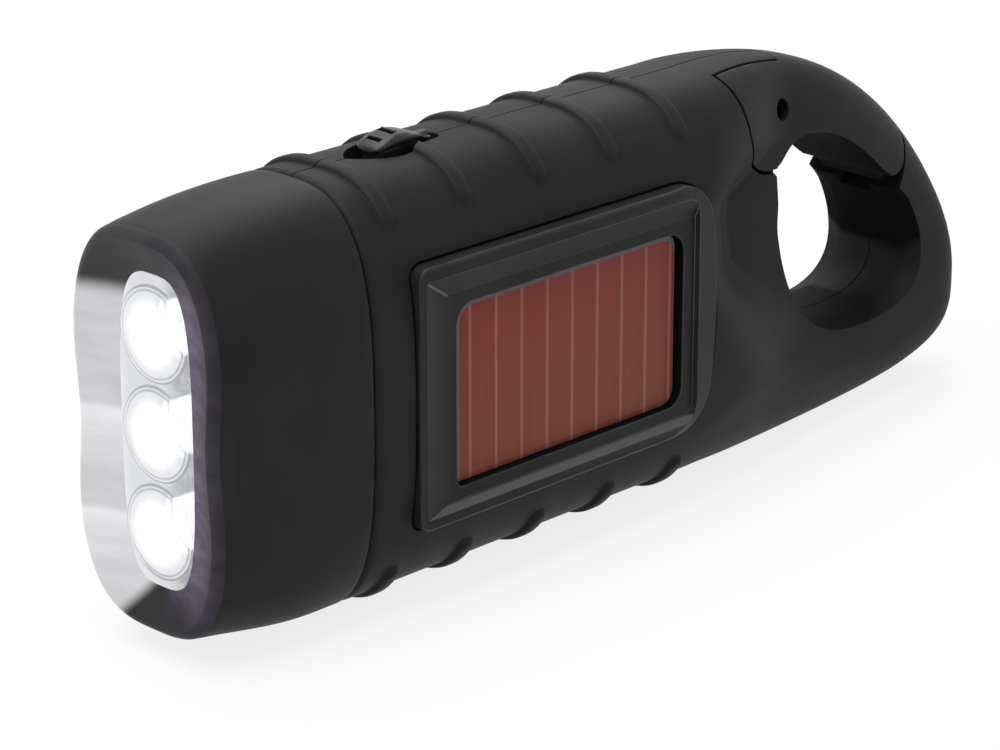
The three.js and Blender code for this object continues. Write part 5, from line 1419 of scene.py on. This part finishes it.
# %% Floor and world
def studio_floor():
    mesh = bmesh.new()
    bmesh.ops.create_grid(mesh, x_segments=8, y_segments=8, size=3)
    floor = keep_object("studio_floor", mesh)
    f = Finish("pale_floor")
    path = f.node("ShaderNodeLightPath").socket.node
    seen = Signal(f, path.outputs["Is Camera Ray"]).larger(Signal(f, path.outputs["Is Glossy Ray"]))
    seen = seen.larger(Signal(f, path.outputs["Is Transmission Ray"]))
    cloth = f.node("ShaderNodeBsdfDiffuse", inputs={"Color": (0.8, 0.8, 0.8, 1)})
    white = f.node("ShaderNodeEmission", inputs={"Color": (1, 1, 1, 1), "Strength": 1.0})
    mixed = f.node("ShaderNodeMixShader", inputs={0: seen * 0.82, 1: cloth, 2: white})
    f.tree.links.new(mixed.socket, f.output.inputs["Surface"])
    floor.data.materials.append(f.material)
    floor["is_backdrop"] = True
    return floor


def studio_world(grey_level):
    world = bpy.data.worlds.new("studio")
    world.use_nodes = True
    tree = world.node_tree
    tree.nodes.clear()
    path = tree.nodes.new("ShaderNodeLightPath")
    either = tree.nodes.new("ShaderNodeMath")
    either.operation = "MAXIMUM"
    tree.links.new(path.outputs["Is Camera Ray"], either.inputs[0])
    tree.links.new(path.outputs["Is Glossy Ray"], either.inputs[1])
    any_of = tree.nodes.new("ShaderNodeMath")
    any_of.operation = "MAXIMUM"
    tree.links.new(either.outputs[0], any_of.inputs[0])
    tree.links.new(path.outputs["Is Transmission Ray"], any_of.inputs[1])
    level = tree.nodes.new("ShaderNodeMapRange")
    tree.links.new(any_of.outputs[0], level.inputs["Value"])
    level.inputs["To Min"].default_value = grey_level
    level.inputs["To Max"].default_value = 1.0
    sky = tree.nodes.new("ShaderNodeBackground")
    sky.inputs["Color"].default_value = (1, 1, 1, 1)
    tree.links.new(level.outputs[0], sky.inputs["Strength"])
    out = tree.nodes.new("ShaderNodeOutputWorld")
    tree.links.new(sky.outputs[0], out.inputs["Surface"])
    bpy.context.scene.world = world


studio_floor()
studio_world(0.4)
print("floor and world ready")

# %% Lamps
def softbox(name, position, target, width, height, power):
    light = bpy.data.lights.new(name, "AREA")
    light.shape, light.size, light.size_y, light.energy = "RECTANGLE", width, height, power
    lamp = bpy.data.objects.new(name, light)
    lamp.location = position
    lamp.rotation_euler = (Vector(position) - Vector(target)).to_track_quat("Z", "Y").to_euler()
    bpy.context.scene.collection.objects.link(lamp)
    return lamp


middle = placed(0, 0, 0)
softbox("top_softbox", middle + Vector((0.1, -0.1, 0.75)), middle, 0.9, 0.6, 6.5)
softbox("front_softbox", middle + Vector((0.65, 0.05, 0.6)), middle, 0.5, 0.5, 2.6)
softbox("rear_softbox", middle + Vector((-0.5, -0.4, 0.5)), middle, 0.45, 0.3, 0.6)

# %% [markdown]
# ## Last measurements
# The skin must stay inside the measured model's box. How far each side of the new box lies past
# the measured one is printed, in millimetres.

# %% Write the sizes and finish
new_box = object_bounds()
grown = [round(1000 * (n - c), 3) for old, new in zip(cad_box, new_box) for c, n in zip(old, new)]
print("grown by mm:", grown)
